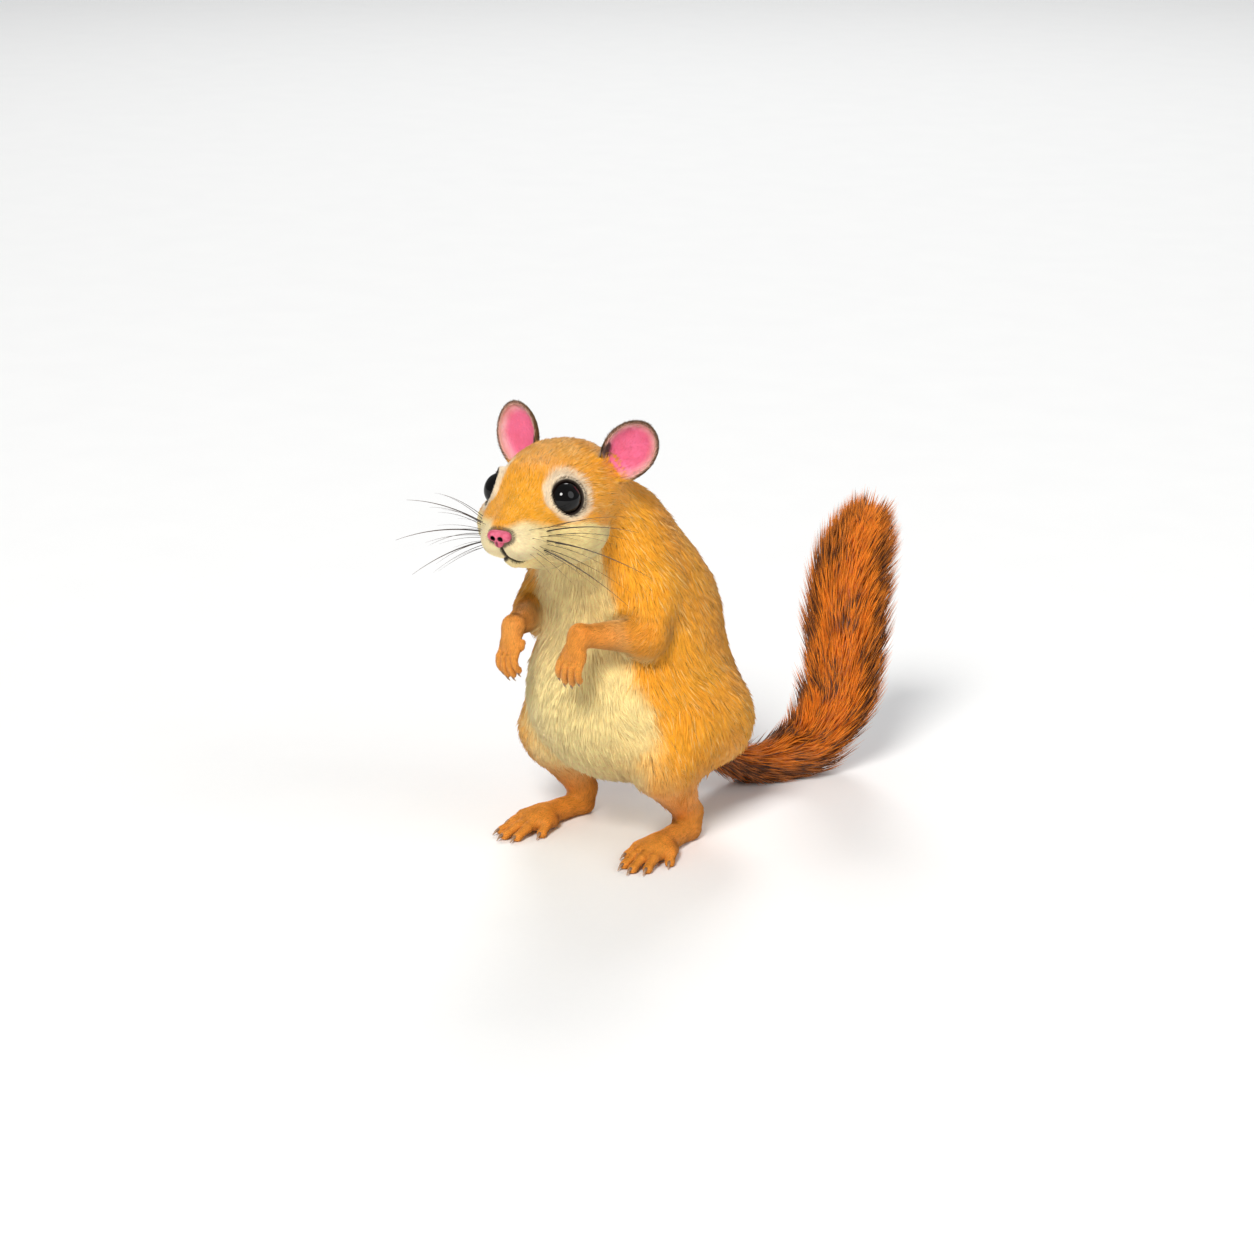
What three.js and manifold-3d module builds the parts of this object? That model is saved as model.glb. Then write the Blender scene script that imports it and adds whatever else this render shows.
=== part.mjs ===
// A gerbil standing upright on its hind feet, as a life-size museum model in millimetres.
// It faces -Y with its left side at +X, +Z is up, and it stands on the plane z = 0.
// Each form is a sphere's vertices pushed out along rays to the surface of a blended field of
// bars and ovals, which is negative inside a form. Thin cuts part the forms, so that every
// sub-part is a solid of its own. The solids reach to the tips of the coat.
import * as THREE from "three";
import { mergeVertices } from "three/addons/utils/BufferGeometryUtils.js";
import Module from "manifold-3d";

const wasm = await Module();
wasm.setup();

// Driving dimensions, in millimetres and degrees.
const GAP = 0.3; // between touching sub-parts
const BODY_BLEND = 8; // how softly the trunk's forms run together
const FACE_BLEND = 2.6;
const NECK_CUT = { point: [0, -11, 76.5], direction: [0, -0.45, 0.89] }; // parts neck and torso
const HEAD_CENTRE = [-0.7, -26, 89.5];
const HEAD_SCALE = 1.05; // of a head 40 mm from nose to nape
const HEAD_TURN = 11; // towards the animal's left
const HEAD_NOD = 3; // nose up
const EYE_RADIUS = 4.1;
const EYE_PLACE = [7.3, -10.4, 3.0]; // in the head's own axes
const EYE_LOOK = [0.8, -0.5, 0.33];
const LID_WIDTH = 0.85;
const LID_FORWARD = 1.8; // of the eye's centre, along the look
const LIP_GROOVE = 0.6; // half the width of the line of the mouth
const CLEFT_GROOVE = 0.5;
const NOSTRIL = 0.5;
const PAD_CORE = [0, -17, -5]; // inside the muzzle, between the whisker pads
const PAD_WAY = [1, -0.18, 0.06]; // from there out to the middle of the left pad
const PAD_BALL = 5; // radius of the ball that parts a pad from the muzzle
const PAD_DEPTH = 1.9;
const WHISKER_THICKNESS = 0.56;
const WHISKER_BACK = 0.12; // how far it leans back
const WHISKER_SAG = 0.22; // share of its length
const WHISKER_ROOT_DEPTH = 0.4;
const WHISKERS = [
  { above: 2, rise: 0.32, long: 23 }, // above the pad's middle, and how far it leans upward
  { above: 0, rise: -0.02, long: 25 },
  { above: -2, rise: -0.31, long: 22 },
];
const EAR_LENGTH = 15;
const EAR_WIDTH = 12;
const EAR_DEPTH = 3.6; // of the cup
const EAR_WALL = 0.9;
const EAR_RIM = 0.35; // half the rim's thickness
const EAR_ROOT = [11.2, 5.4, 6.2]; // in the head's own axes
const EAR_SET = {
  left: { rise: [0.56, 0.2, 0.84], facing: [0.48, -0.86, 0] },
  right: { rise: [-0.34, 0.22, 0.9], facing: [-0.14, -0.86, 0] },
};
const THIGH_INSIDE = 8; // the thigh ends this far from the middle of the body
const FOOT_SPLAY = 7; // toes outward
const HEEL = [15.5, 4.5]; // x and y of the left heel
const FAR_FOOT_AHEAD = 2.5; // the right foot stands this much further forward
const TAIL_PATH = [
  [0, 21, 19],
  [1.5, 33, 11],
  [5.5, 46, 4.4],
  [12.5, 58.5, 7.2],
  [17.6, 64, 19],
  [19.6, 65, 37],
  [21, 65.5, 55],
  [25, 68, 72],
];
const TAIL_SLIM = 4.5; // radius to the hair's tips, near the root
const TAIL_FULL = 11.2;
const TAIL_FULLEST = 0.74; // share of the way along
const TAIL_CORE = 0.46; // radius of the core, as a share of that to the hair's tips
const TAIL_CORE_END = 0.92;
const TAIL_CORE_TAPER = 0.17; // share of the length over which the core comes to a point
const TAIL_PARTS = [
  { name: "tail_root", from: 0, to: 0.29, rows: 3, around: 5 },
  { name: "tail_bend", from: 0.29, to: 0.45, rows: 2, around: 5 },
  { name: "tail_rise", from: 0.45, to: 0.62, rows: 2, around: 6 },
  { name: "tail_brush", from: 0.62, to: 0.79, rows: 2, around: 6 },
  { name: "tail_tip", from: 0.79, to: TAIL_CORE_END, rows: 2, around: 5 },
];
const FIRST_ROW = 0.015; // share of the length from a part's start
const LAST_ROW = 0.045; // and before its end
const TIP_LOCKS = 3; // that close the end
const LOCK_OVERLAP = 1.2; // breadth of a row's locks together, as a share of the way round
const LOCK_LENGTHS = [11, 16]; // near the root and in the brush
const LOCK_THICKNESS = 0.9;
const LOCK_ROOT_DEPTH = 1.2;
const SEED = 9;

const FUR_GOLD = 0xd98a1e;
const FUR_CREAM = 0xf3dda0;
const FUR_RUST = 0xb4560f;
const PAW_TAN = 0xcf7a35;
const EAR_PINK = 0xe88a94;
const NOSE_PINK = 0xe0748a;
const EYE_BLACK = 0x0b0807;

const CAST_STEPS = 48; // along a ray, before halving closes in on the surface
const CAST_HALVINGS = 18;
const SIDES = { left: 1, right: -1 };
const { degToRad, lerp, clamp } = THREE.MathUtils;
const vec = (p) => (p.isVector3 ? p.clone() : new THREE.Vector3(...p));

/** A bar from a to b with a ball of radius ra at one end and rb at the other. */
function bar(a, b, ra, rb) {
  const from = vec(a);
  const along = vec(b).sub(from);
  const squared = along.lengthSq();
  return (p) => {
    const t = clamp(p.clone().sub(from).dot(along) / squared, 0, 1);
    return p.distanceTo(from.clone().addScaledVector(along, t)) - lerp(ra, rb, t);
  };
}

/** An oval with its own three radii. */
function oval(centre, radii) {
  const c = vec(centre);
  const r = vec(radii);
  const r2 = r.clone().multiply(r);
  return (p) => {
    const d = p.clone().sub(c);
    const near = d.clone().divide(r).length();
    const slope = d.divide(r2).length();
    return slope < 1e-9 ? -Math.min(r.x, r.y, r.z) : (near * (near - 1)) / slope;
  };
}

/** The forms of a list run together over about k millimetres. */
function blend(k, fields) {
  return (p) =>
    fields
      .map((f) => f(p))
      .reduce((a, b) => {
        const h = Math.max(k - Math.abs(a - b), 0) / k;
        return Math.min(a, b) - (h * h * k) / 4;
      });
}

/** The same form in a frame of its own. */
function placed(field, matrix) {
  const back = matrix.clone().invert();
  const scale = new THREE.Vector3().setFromMatrixScale(matrix).x;
  return (p) => field(p.clone().applyMatrix4(back)) * scale;
}

/** A closed geometry as a solid. */
function solid(geometry) {
  const bare = new THREE.BufferGeometry();
  bare.setAttribute("position", geometry.getAttribute("position"));
  bare.setIndex(geometry.index);
  const merged = mergeVertices(bare, 1e-4);
  const triVerts = new Uint32Array(merged.index.array);
  const made = new wasm.Manifold(
    new wasm.Mesh({ numProp: 3, vertProperties: merged.attributes.position.array, triVerts }),
  );
  if (made.volume() > 0) return made;
  for (let i = 0; i < triVerts.length; i += 3) {
    [triVerts[i + 1], triVerts[i + 2]] = [triVerts[i + 2], triVerts[i + 1]];
  }
  return new wasm.Manifold(
    new wasm.Mesh({ numProp: 3, vertProperties: merged.attributes.position.array, triVerts }),
  );
}

/** The largest closed surface of a solid. */
const largest = (made) =>
  made.decompose().reduce((best, piece) => (piece.volume() > best.volume() ? piece : best));

/** A solid's own geometry. */
function geometryOf(made) {
  const mesh = made.getMesh();
  const geometry = new THREE.BufferGeometry();
  geometry.setAttribute("position", new THREE.BufferAttribute(mesh.vertProperties.slice(), 3));
  geometry.setIndex(new THREE.BufferAttribute(mesh.triVerts.slice(), 1));
  return geometry.toNonIndexed();
}

/** How far out from origin, along a ray, the field's surface lies, seen from outside. */
function surfaceAlong(field, origin, ray, reach) {
  const at = (s) => field(origin.clone().addScaledVector(ray, s));
  const step = reach / CAST_STEPS;
  let out = reach;
  while (out > 0 && at(out) > 0) out -= step;
  let low = Math.max(out, 0);
  let high = low + step;
  for (let i = 0; i < CAST_HALVINGS; i++) {
    const middle = (low + high) / 2;
    if (at(middle) > 0) high = middle;
    else low = middle;
  }
  return (low + high) / 2;
}

/**
 * A form wrapped in a sphere's vertices, cast out from the line between two points inside it.
 * A grown form is larger all round by that much.
 */
function wrap(field, from, to, { around = 20, along = 14, reach = 45, grown = 0 } = {}) {
  const sphere = new THREE.SphereGeometry(1, around, along);
  const start = vec(from);
  const line = vec(to).sub(start);
  const turn = new THREE.Quaternion().setFromUnitVectors(
    new THREE.Vector3(0, 1, 0),
    line.clone().normalize(),
  );
  const place = sphere.getAttribute("position");
  const outline = (p) => field(p) - grown;
  for (let i = 0; i < place.count; i++) {
    const v = new THREE.Vector3().fromBufferAttribute(place, i);
    const share = 1 - Math.acos(clamp(v.y, -1, 1)) / Math.PI;
    const origin = start.clone().addScaledVector(line, share);
    const ray = new THREE.Vector3(v.x, v.y ** 3, v.z).normalize().applyQuaternion(turn);
    const s = surfaceAlong(outline, origin, ray, reach);
    place.setXYZ(i, ...origin.addScaledVector(ray, s).toArray());
  }
  return solid(sphere);
}

const smoothLine = (points) => new THREE.CatmullRomCurve3(points.map(vec), false, "centripetal");

/** A tapered, closed tube along part of a smooth line, with its radius given along the line. */
function tube(curve, radius, { from = 0, to = 1, steps = 6, sides = 6, up = [0, 0, 1] } = {}) {
  const position = [];
  const index = [];
  const upward = vec(up);
  for (let i = 0; i <= steps; i++) {
    const t = lerp(from, to, i / steps);
    const centre = curve.getPointAt(t);
    const ahead = curve.getTangentAt(t);
    const across = new THREE.Vector3().crossVectors(ahead, upward).normalize();
    const over = new THREE.Vector3().crossVectors(across, ahead).normalize();
    for (let j = 0; j < sides; j++) {
      const a = (2 * Math.PI * j) / sides;
      const p = centre
        .clone()
        .addScaledVector(across, Math.cos(a) * radius(t))
        .addScaledVector(over, Math.sin(a) * radius(t));
      position.push(p.x, p.y, p.z);
    }
  }
  const caps = [curve.getPointAt(from), curve.getPointAt(to)];
  caps.forEach((p) => position.push(p.x, p.y, p.z));
  const [first, last] = [(steps + 1) * sides, (steps + 1) * sides + 1];
  for (let j = 0; j < sides; j++) {
    const k = (j + 1) % sides;
    for (let i = 0; i < steps; i++) {
      const [a, b] = [i * sides, (i + 1) * sides];
      index.push(a + j, a + k, b + j, a + k, b + k, b + j);
    }
    index.push(first, k, j, last, steps * sides + j, steps * sides + k);
  }
  const geometry = new THREE.BufferGeometry();
  geometry.setAttribute("position", new THREE.Float32BufferAttribute(position, 3));
  geometry.setIndex(index);
  return solid(geometry);
}

/** A large block whose lower face lies at a point, across a direction. */
function blockBeyond(point, direction, size = 160) {
  const box = new THREE.BoxGeometry(size, size, size);
  const turn = new THREE.Quaternion().setFromUnitVectors(
    new THREE.Vector3(0, 0, 1),
    vec(direction).normalize(),
  );
  box.translate(0, 0, size / 2).applyQuaternion(turn).translate(...vec(point).toArray());
  return solid(box);
}

const belowFloor = blockBeyond([0, 0, 0], [0, 0, -1]);
const join = (pieces) => largest(pieces.reduce((a, b) => a.add(b)));
const mirrored = (p, side) => [p[0] * side, p[1], p[2]];

// The trunk

const trunkField = blend(BODY_BLEND, [
  oval([0, 7.5, 35], [23, 22, 21]), // rump
  oval([0, -3, 37], [23, 22.5, 22]), // belly
  oval([0, 1.5, 54], [22, 22.5, 23]), // ribs
  oval([0, -6, 69], [18, 18, 18]), // chest
  bar([0, -9, 79], [-0.4, -19, 90], 12.8, 11), // neck
]);
const trunkLine = [
  [0, 2, 27],
  [0, -17, 84],
];
const trunkShape = { around: 24, along: 17, reach: 50 };
const trunk = wrap(trunkField, ...trunkLine, trunkShape);
const trunkGrown = wrap(trunkField, ...trunkLine, { ...trunkShape, grown: GAP });

// The head

const headFrame = new THREE.Matrix4().compose(
  vec(HEAD_CENTRE),
  new THREE.Quaternion().setFromEuler(
    new THREE.Euler(degToRad(-HEAD_NOD), 0, degToRad(HEAD_TURN), "ZXY"),
  ),
  new THREE.Vector3(HEAD_SCALE, HEAD_SCALE, HEAD_SCALE),
);
const onHead = (p) => vec(p).applyMatrix4(headFrame);

const skull = blend(FACE_BLEND, [
  oval([0, 1.5, 1.2], [13.2, 14, 11.8]), // cranium
  oval([0, -7, 3], [10.2, 10, 8.8]), // forehead
  bar([0, -11, 2.4], [0, -21.2, -2.8], 7.2, 4.1), // bridge
  oval([8.2, -5.6, -4.6], [6.7, 9.2, 7.4]), // cheeks
  oval([-8.2, -5.6, -4.6], [6.7, 9.2, 7.4]),
  oval([5, -13, -3.4], [5, 8, 6.2]), // flanks of the muzzle
  oval([-5, -13, -3.4], [5, 8, 6.2]),
  oval([2.9, -19.6, -5.2], [4.2, 5, 4.3]), // whisker pads
  oval([-2.9, -19.6, -5.2], [4.2, 5, 4.3]),
  bar([0, -6, -7.6], [0, -17.6, -8.9], 7.4, 3.2), // jaw and chin
]);
const headField = placed(skull, headFrame);
const headLine = [onHead([0, 5, 0]), onHead([0, -15, -2.6])];
const headBase = wrap(headField, ...headLine, { around: 32, along: 26, reach: 32 });
const headPocket = wrap(headField, ...headLine, {
  around: 20,
  along: 18,
  reach: 32,
  grown: GAP + 0.3, // its coarser facets cut the corners
});

/** The eye's ball. */
function eye(side, grown = 0) {
  const ball = new THREE.IcosahedronGeometry(EYE_RADIUS * HEAD_SCALE + grown, 2);
  return solid(ball.translate(...onHead(mirrored(EYE_PLACE, side)).toArray()));
}

/** A raised rim round the eye, open where the ball looks out. */
function lids(side) {
  const rim = new THREE.TorusGeometry(EYE_RADIUS * 0.96, LID_WIDTH, 5, 15);
  const look = vec(mirrored(EYE_LOOK, side)).normalize();
  rim.applyQuaternion(
    new THREE.Quaternion().setFromUnitVectors(new THREE.Vector3(0, 0, 1), look),
  );
  rim.translate(...vec(mirrored(EYE_PLACE, side)).addScaledVector(look, LID_FORWARD).toArray());
  return solid(rim.applyMatrix4(headFrame));
}

/** The soft pad at the muzzle's tip, with its two nostrils. */
const noseField = placed(
  blend(1.2, [
    oval([0, -25.1, -3.3], [2.3, 1.5, 1.2]),
    oval([0, -25.0, -4.6], [1.1, 1.2, 1.3]),
  ]),
  headFrame,
);
const noseLine = [onHead([0, -24.6, -3.2]), onHead([0, -24.8, -4.4])];
const nosePad = (grown) => wrap(noseField, ...noseLine, { around: 12, along: 7, reach: 6, grown });

function nostril(side) {
  const line = [
    [0.9 * side, -27.4, -3.5],
    [1.1 * side, -26.2, -3.4],
    [1.4 * side, -25.3, -3.2],
  ];
  return tube(smoothLine(line.map(onHead)), (t) => NOSTRIL - 0.2 * t, { steps: 2, sides: 5 });
}

/** A groove pressed into the head's surface along a line near it. */
function groove(points, width) {
  const core = onHead([0, -15, -7]);
  const line = points.map(onHead).map((p) => {
    const ray = p.sub(core).normalize();
    return core.clone().addScaledVector(ray, surfaceAlong(headField, core, ray, 16));
  });
  const options = { steps: 2 * (points.length - 1), sides: 5 };
  return tube(smoothLine(line), (t) => width * (1 - 0.45 * t), options);
}

/** The cleft below the nose, and the line of the mouth from it to both corners. */
function mouthLine() {
  const lips = [-1, 1].map((side) =>
    groove(
      [
        [0.1 * side, -23.6, -9.2],
        [2.0 * side, -22.4, -10.6],
        [4.4 * side, -19.6, -10.2],
        [6.2 * side, -15.6, -8.4],
      ],
      LIP_GROOVE,
    ),
  );
  const cleft = groove(
    [
      [0, -23.6, -9.4],
      [0, -24.6, -7.6],
      [0.01, -25, -5.8],
    ],
    CLEFT_GROOVE,
  );
  return [...lips, cleft];
}

/** Where a ray leaves the muzzle's side, from a point so far above the pads' core. */
function padRay(side, above) {
  const core = onHead([PAD_CORE[0], PAD_CORE[1], PAD_CORE[2] + above]);
  const ray = vec(mirrored(PAD_WAY, side)).transformDirection(headFrame);
  return { ray, root: core.addScaledVector(ray, surfaceAlong(headField, core, ray, 16)) };
}

/** The ball that parts a whisker pad from the muzzle. */
function padBall(side, grown = 0) {
  const { ray, root } = padRay(side, 0);
  const ball = new THREE.IcosahedronGeometry(PAD_BALL + grown, 1);
  const centre = root.addScaledVector(ray, PAD_BALL - PAD_DEPTH);
  return solid(ball.translate(...centre.toArray()));
}

/** A long hair that leaves the pad sideways and sinks towards its tip. */
function whisker(side, { above, rise, long }) {
  const { root } = padRay(side, above);
  const ahead = vec([side, WHISKER_BACK, rise]).transformDirection(headFrame);
  const line = [-WHISKER_ROOT_DEPTH / long, 0.25, 0.5, 0.75, 1].map((t) => {
    const p = root.clone().addScaledVector(ahead, long * t);
    p.z -= WHISKER_SAG * long * t * t;
    return p;
  });
  const radius = (t) => (WHISKER_THICKNESS / 2) * (1 - 0.65 * t ** 3);
  return tube(smoothLine(line), radius, { steps: 4, sides: 4 });
}

/** The pad that the whiskers of one side grow from, with the three longest. */
function whiskerPad(side) {
  const pad = largest(headBase.intersect(padBall(side)));
  return WHISKERS.reduce((made, one) => made.add(whisker(side, one)), pad);
}

let head = join([headBase, lids(1), lids(-1)]);
const pockets = [1, -1].flatMap((side) => [eye(side, GAP), padBall(side, GAP)]);
[...pockets, nosePad(GAP), ...mouthLine()].forEach((cut) => {
  head = head.subtract(cut);
});
head = largest(head);
let nose = nosePad(0);
[nostril(1), nostril(-1)].forEach((cut) => {
  nose = nose.subtract(cut);
});
nose = largest(nose);

/** The cup of an ear: a ball pressed into a bowl that opens forward and outward. */
function ear(word) {
  const cup = new THREE.SphereGeometry(1, 16, 11);
  const place = cup.getAttribute("position");
  for (let i = 0; i < place.count; i++) {
    const v = new THREE.Vector3().fromBufferAttribute(place, i);
    const up = (v.z + 1) / 2;
    const round = Math.sqrt(Math.max(0, 1 - v.y * v.y));
    const width = (EAR_WIDTH / 2) * (0.82 + 0.46 * up - 0.3 * up * up);
    const bowl = EAR_DEPTH * Math.abs(v.y) * (1.15 - 0.4 * up);
    const behind = v.y > 0 ? bowl : Math.max(0, bowl - EAR_WALL);
    const rim = EAR_RIM * (1 - Math.abs(v.y));
    place.setXYZ(
      i,
      v.x * width,
      behind + (v.y > 0 ? rim : -rim) - 0.5 * round,
      up * EAR_LENGTH - 1.5,
    );
  }
  const rise = vec(EAR_SET[word].rise).normalize();
  const facing = vec(EAR_SET[word].facing);
  facing.addScaledVector(rise, -facing.dot(rise)).normalize();
  const across = new THREE.Vector3().crossVectors(rise, facing);
  const frame = new THREE.Matrix4().makeBasis(across, facing.clone().negate(), rise);
  frame.setPosition(vec(mirrored(EAR_ROOT, SIDES[word])));
  cup.applyMatrix4(frame.premultiply(headFrame));
  return largest(solid(cup).subtract(headPocket));
}

// The forelegs

const armOf = (side) => {
  const shoulder = [12.5 * side, -9, 66];
  const elbow = [16.6 * side, -14, 57];
  const wrist = side > 0 ? [10.8, -31.5, 60] : [-10.4, -30, 57.6];
  return { shoulder, elbow, wrist };
};

function upperArm(side, grown = 0) {
  const { shoulder, elbow } = armOf(side);
  const field = bar(shoulder, elbow, 8.2, 5.8);
  return wrap(field, shoulder, elbow, { around: 12, along: 10, reach: 14, grown });
}

function forearm(side) {
  const { elbow, wrist } = armOf(side);
  const field = bar(elbow, wrist, 4.6, 2.7);
  return wrap(field, elbow, wrist, { around: 10, along: 8, reach: 10 });
}

/** A palm that hangs from the wrist, with four curled fingers and their claws. */
function forepaw(side) {
  const { wrist } = armOf(side);
  const frame = new THREE.Matrix4().makeRotationFromEuler(
    new THREE.Euler(degToRad(-14), degToRad(6 * side), degToRad(8 * side), "XYZ"),
  );
  frame.setPosition(vec(wrist));
  const at = (p) => vec(p).applyMatrix4(frame);
  const palm = placed(
    blend(1.6, [
      bar([0, 0, 0.4], [0, -0.6, -3.2], 2.5, 2.3),
      oval([0, -0.4, -4.6], [3.1, 1.9, 2.4]),
    ]),
    frame,
  );
  const palmLine = [at([0, 0, -0.6]), at([0, -0.4, -4.6])];
  const palmShape = { around: 12, along: 8, reach: 8 };
  const parts = [wrap(palm, ...palmLine, palmShape)];
  const fingers = [-2.25, -0.8, 0.75, 2.15];
  const lengths = [4.0, 5.0, 4.9, 3.8];
  fingers.forEach((x, i) => {
    const spread = x * 0.22;
    const long = lengths[i];
    const line = [
      [x, -0.5, -5.2],
      [x + spread * 0.6, -1.4, -6.4 - long * 0.2],
      [x + spread, -1.2, -6.4 - long * 0.62],
      [x + spread, 0.2, -6.3 - long],
    ];
    parts.push(
      tube(smoothLine(line.map(at)), (t) => 0.86 - 0.2 * t, { steps: 3, sides: 5, up: [1, 0, 0] }),
    );
    const claw = [
      [x + spread, -0.2, -6.0 - long],
      [x + spread, 0.5, -7.1 - long],
      [x + spread, 1.5, -7.7 - long],
    ];
    parts.push(
      tube(smoothLine(claw.map(at)), (t) => 0.5 - 0.36 * t, { steps: 2, sides: 4, up: [1, 0, 0] }),
    );
  });
  return { solid: join(parts), grown: wrap(palm, ...palmLine, { ...palmShape, grown: GAP }) };
}

// The hind legs

const heelOf = (side) => [HEEL[0] * side, HEEL[1] - (side < 0 ? FAR_FOOT_AHEAD : 0), 0];
const legOf = (side) => {
  const [x, y] = heelOf(side);
  return {
    hip: [14 * side, 9, 30],
    knee: [16.5 * side, -7, 25.5],
    shin: [16.5 * side, -6, 20.5],
    ankle: [x, y - 0.5, 7.2],
  };
};
const thighField = (side) => {
  const { hip, knee } = legOf(side);
  return blend(5, [bar(hip, knee, 14.2, 9.4), oval([16.5 * side, 2, 34], [10, 13, 13])]);
};

function thigh(side, grown = 0) {
  const { hip, knee } = legOf(side);
  const outside = blockBeyond([(THIGH_INSIDE - grown) * side, 0, 30], [side, 0, 0]);
  const whole = wrap(thighField(side), hip, knee, { around: 16, along: 12, reach: 26, grown });
  return whole.intersect(outside);
}

const shankField = (side) => {
  const { shin, ankle } = legOf(side);
  return bar(shin, ankle, 7, 3.5);
};

function shank(side, grown = 0) {
  const { shin, ankle } = legOf(side);
  return wrap(shankField(side), shin, ankle, { around: 12, along: 8, reach: 12, grown });
}

/** A long hind foot, flat on the floor, with five toes and their claws. */
function foot(side) {
  const frame = new THREE.Matrix4().makeRotationZ(degToRad(FOOT_SPLAY * side));
  frame.setPosition(vec(heelOf(side)));
  const at = (p) => vec([p[0] * side, p[1], p[2]]).applyMatrix4(frame);
  const sole = placed(
    blend(2.2, [
      bar([0, -0.6, 3], [0, 0.2, 6.4], 3.2, 3.3), // heel and ankle
      bar([0, -1, 2.6], [0, -13, 2.7], 2.9, 3.0),
      oval([0, -16, 2.5], [4.9, 4.8, 2.9]), // ball of the foot
    ]),
    frame,
  );
  const line = [at([0, -2, 3]), at([0, -15.5, 2.6])];
  const shape = { around: 12, along: 10, reach: 12 };
  const parts = [wrap(sole, ...line, shape)];
  const toes = [
    { x: -3.9, y: -15.2, long: 4.6, out: -20 },
    { x: -2.1, y: -18.2, long: 7.2, out: -7 },
    { x: 0, y: -18.8, long: 7.9, out: 0 },
    { x: 2.1, y: -18.0, long: 7.0, out: 8 },
    { x: 3.9, y: -14.6, long: 4.4, out: 22 },
  ];
  toes.forEach(({ x, y, long, out }) => {
    const [dx, dy] = [Math.sin(degToRad(out)), -Math.cos(degToRad(out))];
    const on = (s, z) => at([x + dx * s, y + dy * s, z]);
    const toe = [on(-2, 1.9), on(long * 0.3, 2.4), on(long * 0.65, 1.6), on(long, 1.05)];
    parts.push(tube(smoothLine(toe), (t) => 1.3 - 0.32 * t, { steps: 3 }));
    const claw = [on(long - 0.4, 1.25), on(long + 1.2, 1.2), on(long + 2.6, 0.35)];
    parts.push(tube(smoothLine(claw), (t) => 0.66 - 0.46 * t, { steps: 2, sides: 4 }));
  });
  return {
    solid: largest(join(parts).subtract(shank(side, GAP)).subtract(belowFloor)),
    grown: wrap(sole, ...line, { ...shape, grown: GAP }),
  };
}

// The tail

const tailCurve = smoothLine(TAIL_PATH);
const tailLength = tailCurve.getLength();

/** How full the brush is at a share of the tail's length. */
const fullness = (u) => THREE.MathUtils.smoothstep(u, 0.1, 0.62);

/** Radius to the tips of the tail's hair. */
function tailRadius(u) {
  const past = clamp((u - TAIL_FULLEST) / (1 - TAIL_FULLEST), 0, 1);
  return lerp(TAIL_SLIM, TAIL_FULL, fullness(u)) * Math.sqrt(1 - 0.8 * past ** 3);
}

/** Radius of the core that the hair grows from. */
function coreRadius(u) {
  const past = clamp(1 - (TAIL_CORE_END - u) / TAIL_CORE_TAPER, 0, 1);
  return TAIL_CORE * tailRadius(u) * Math.sqrt(1 - 0.98 * past ** 2);
}

/** A frame on the tail's line: its centre, the way along it and two ways across. */
function tailFrame(u) {
  const ahead = tailCurve.getTangentAt(Math.min(u, 1));
  const centre = tailCurve.getPointAt(Math.min(u, 1));
  centre.addScaledVector(ahead, Math.max(0, u - 1) * tailLength);
  const across = new THREE.Vector3().crossVectors(ahead, vec([1, 0, 0])).normalize();
  const over = new THREE.Vector3().crossVectors(across, ahead).normalize();
  return { centre, ahead, across, over };
}

/** The point at an angle round the tail's line and a distance from it. */
function tailPoint(u, angle, out) {
  const { centre, across, over } = tailFrame(u);
  return centre
    .addScaledVector(across, Math.cos(angle) * out)
    .addScaledVector(over, Math.sin(angle) * out);
}

/** The same draws between 0 and 1 each time. */
function seeded(seed) {
  let state = seed;
  return () => {
    state = (Math.imul(state, 1664525) + 1013904223) >>> 0;
    return state / 2 ** 32;
  };
}

/** A flat lock of hair with a low ridge along its outer face, tapering to a point. */
function lock(line, outward, width, thickness) {
  const sections = [
    { v: 0, broad: 0.6 },
    { v: 0.36, broad: 1 },
    { v: 0.72, broad: 0.62 },
  ];
  const curve = smoothLine(line);
  const position = [];
  for (const { v, broad } of sections) {
    const centre = curve.getPoint(v);
    const ahead = curve.getTangent(v);
    const side = outward(v).cross(ahead).normalize().multiplyScalar((broad * width) / 2);
    const out = new THREE.Vector3().crossVectors(ahead, side).normalize();
    out.multiplyScalar(thickness * (1 - 0.5 * v));
    const under = centre.clone().addScaledVector(out, -0.5);
    const corners = [under.clone().add(side), centre.add(out), under.clone().sub(side)];
    corners.forEach((p) => position.push(p.x, p.y, p.z));
  }
  position.push(...curve.getPoint(1).toArray());
  const tip = sections.length * 3;
  const index = [0, 1, 2];
  for (let j = 0; j < 3; j++) {
    const k = (j + 1) % 3;
    for (let row = 0; row < tip - 3; row += 3) {
      index.push(row + j, row + 3 + k, row + k, row + j, row + 3 + j, row + 3 + k);
    }
    index.push(tip - 3 + j, tip, tip - 3 + k);
  }
  const geometry = new THREE.BufferGeometry();
  geometry.setAttribute("position", new THREE.Float32BufferAttribute(position, 3));
  geometry.setIndex(index);
  return solid(geometry);
}

const draw = seeded(SEED);
const swing = () => 2 * draw() - 1;

/** One lock of the brush, from a place on the core's surface out to the hair's tips. */
function tailLock(u, angle, width, spread) {
  const root = u + 0.01 * swing();
  const long = (lerp(...LOCK_LENGTHS, fullness(u)) * (1 + 0.12 * swing())) / tailLength;
  const twist = 0.3 * swing();
  const low = coreRadius(root) - LOCK_ROOT_DEPTH;
  const high = tailRadius(root + long) * spread;
  const at = (v) => tailPoint(root + long * v, angle + twist * v, lerp(low, high, v));
  const outward = (v) => at(v).sub(tailFrame(root + long * v).centre);
  return lock([0, 0.33, 0.66, 1].map(at), outward, width * (1 + 0.12 * swing()), LOCK_THICKNESS);
}

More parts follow.
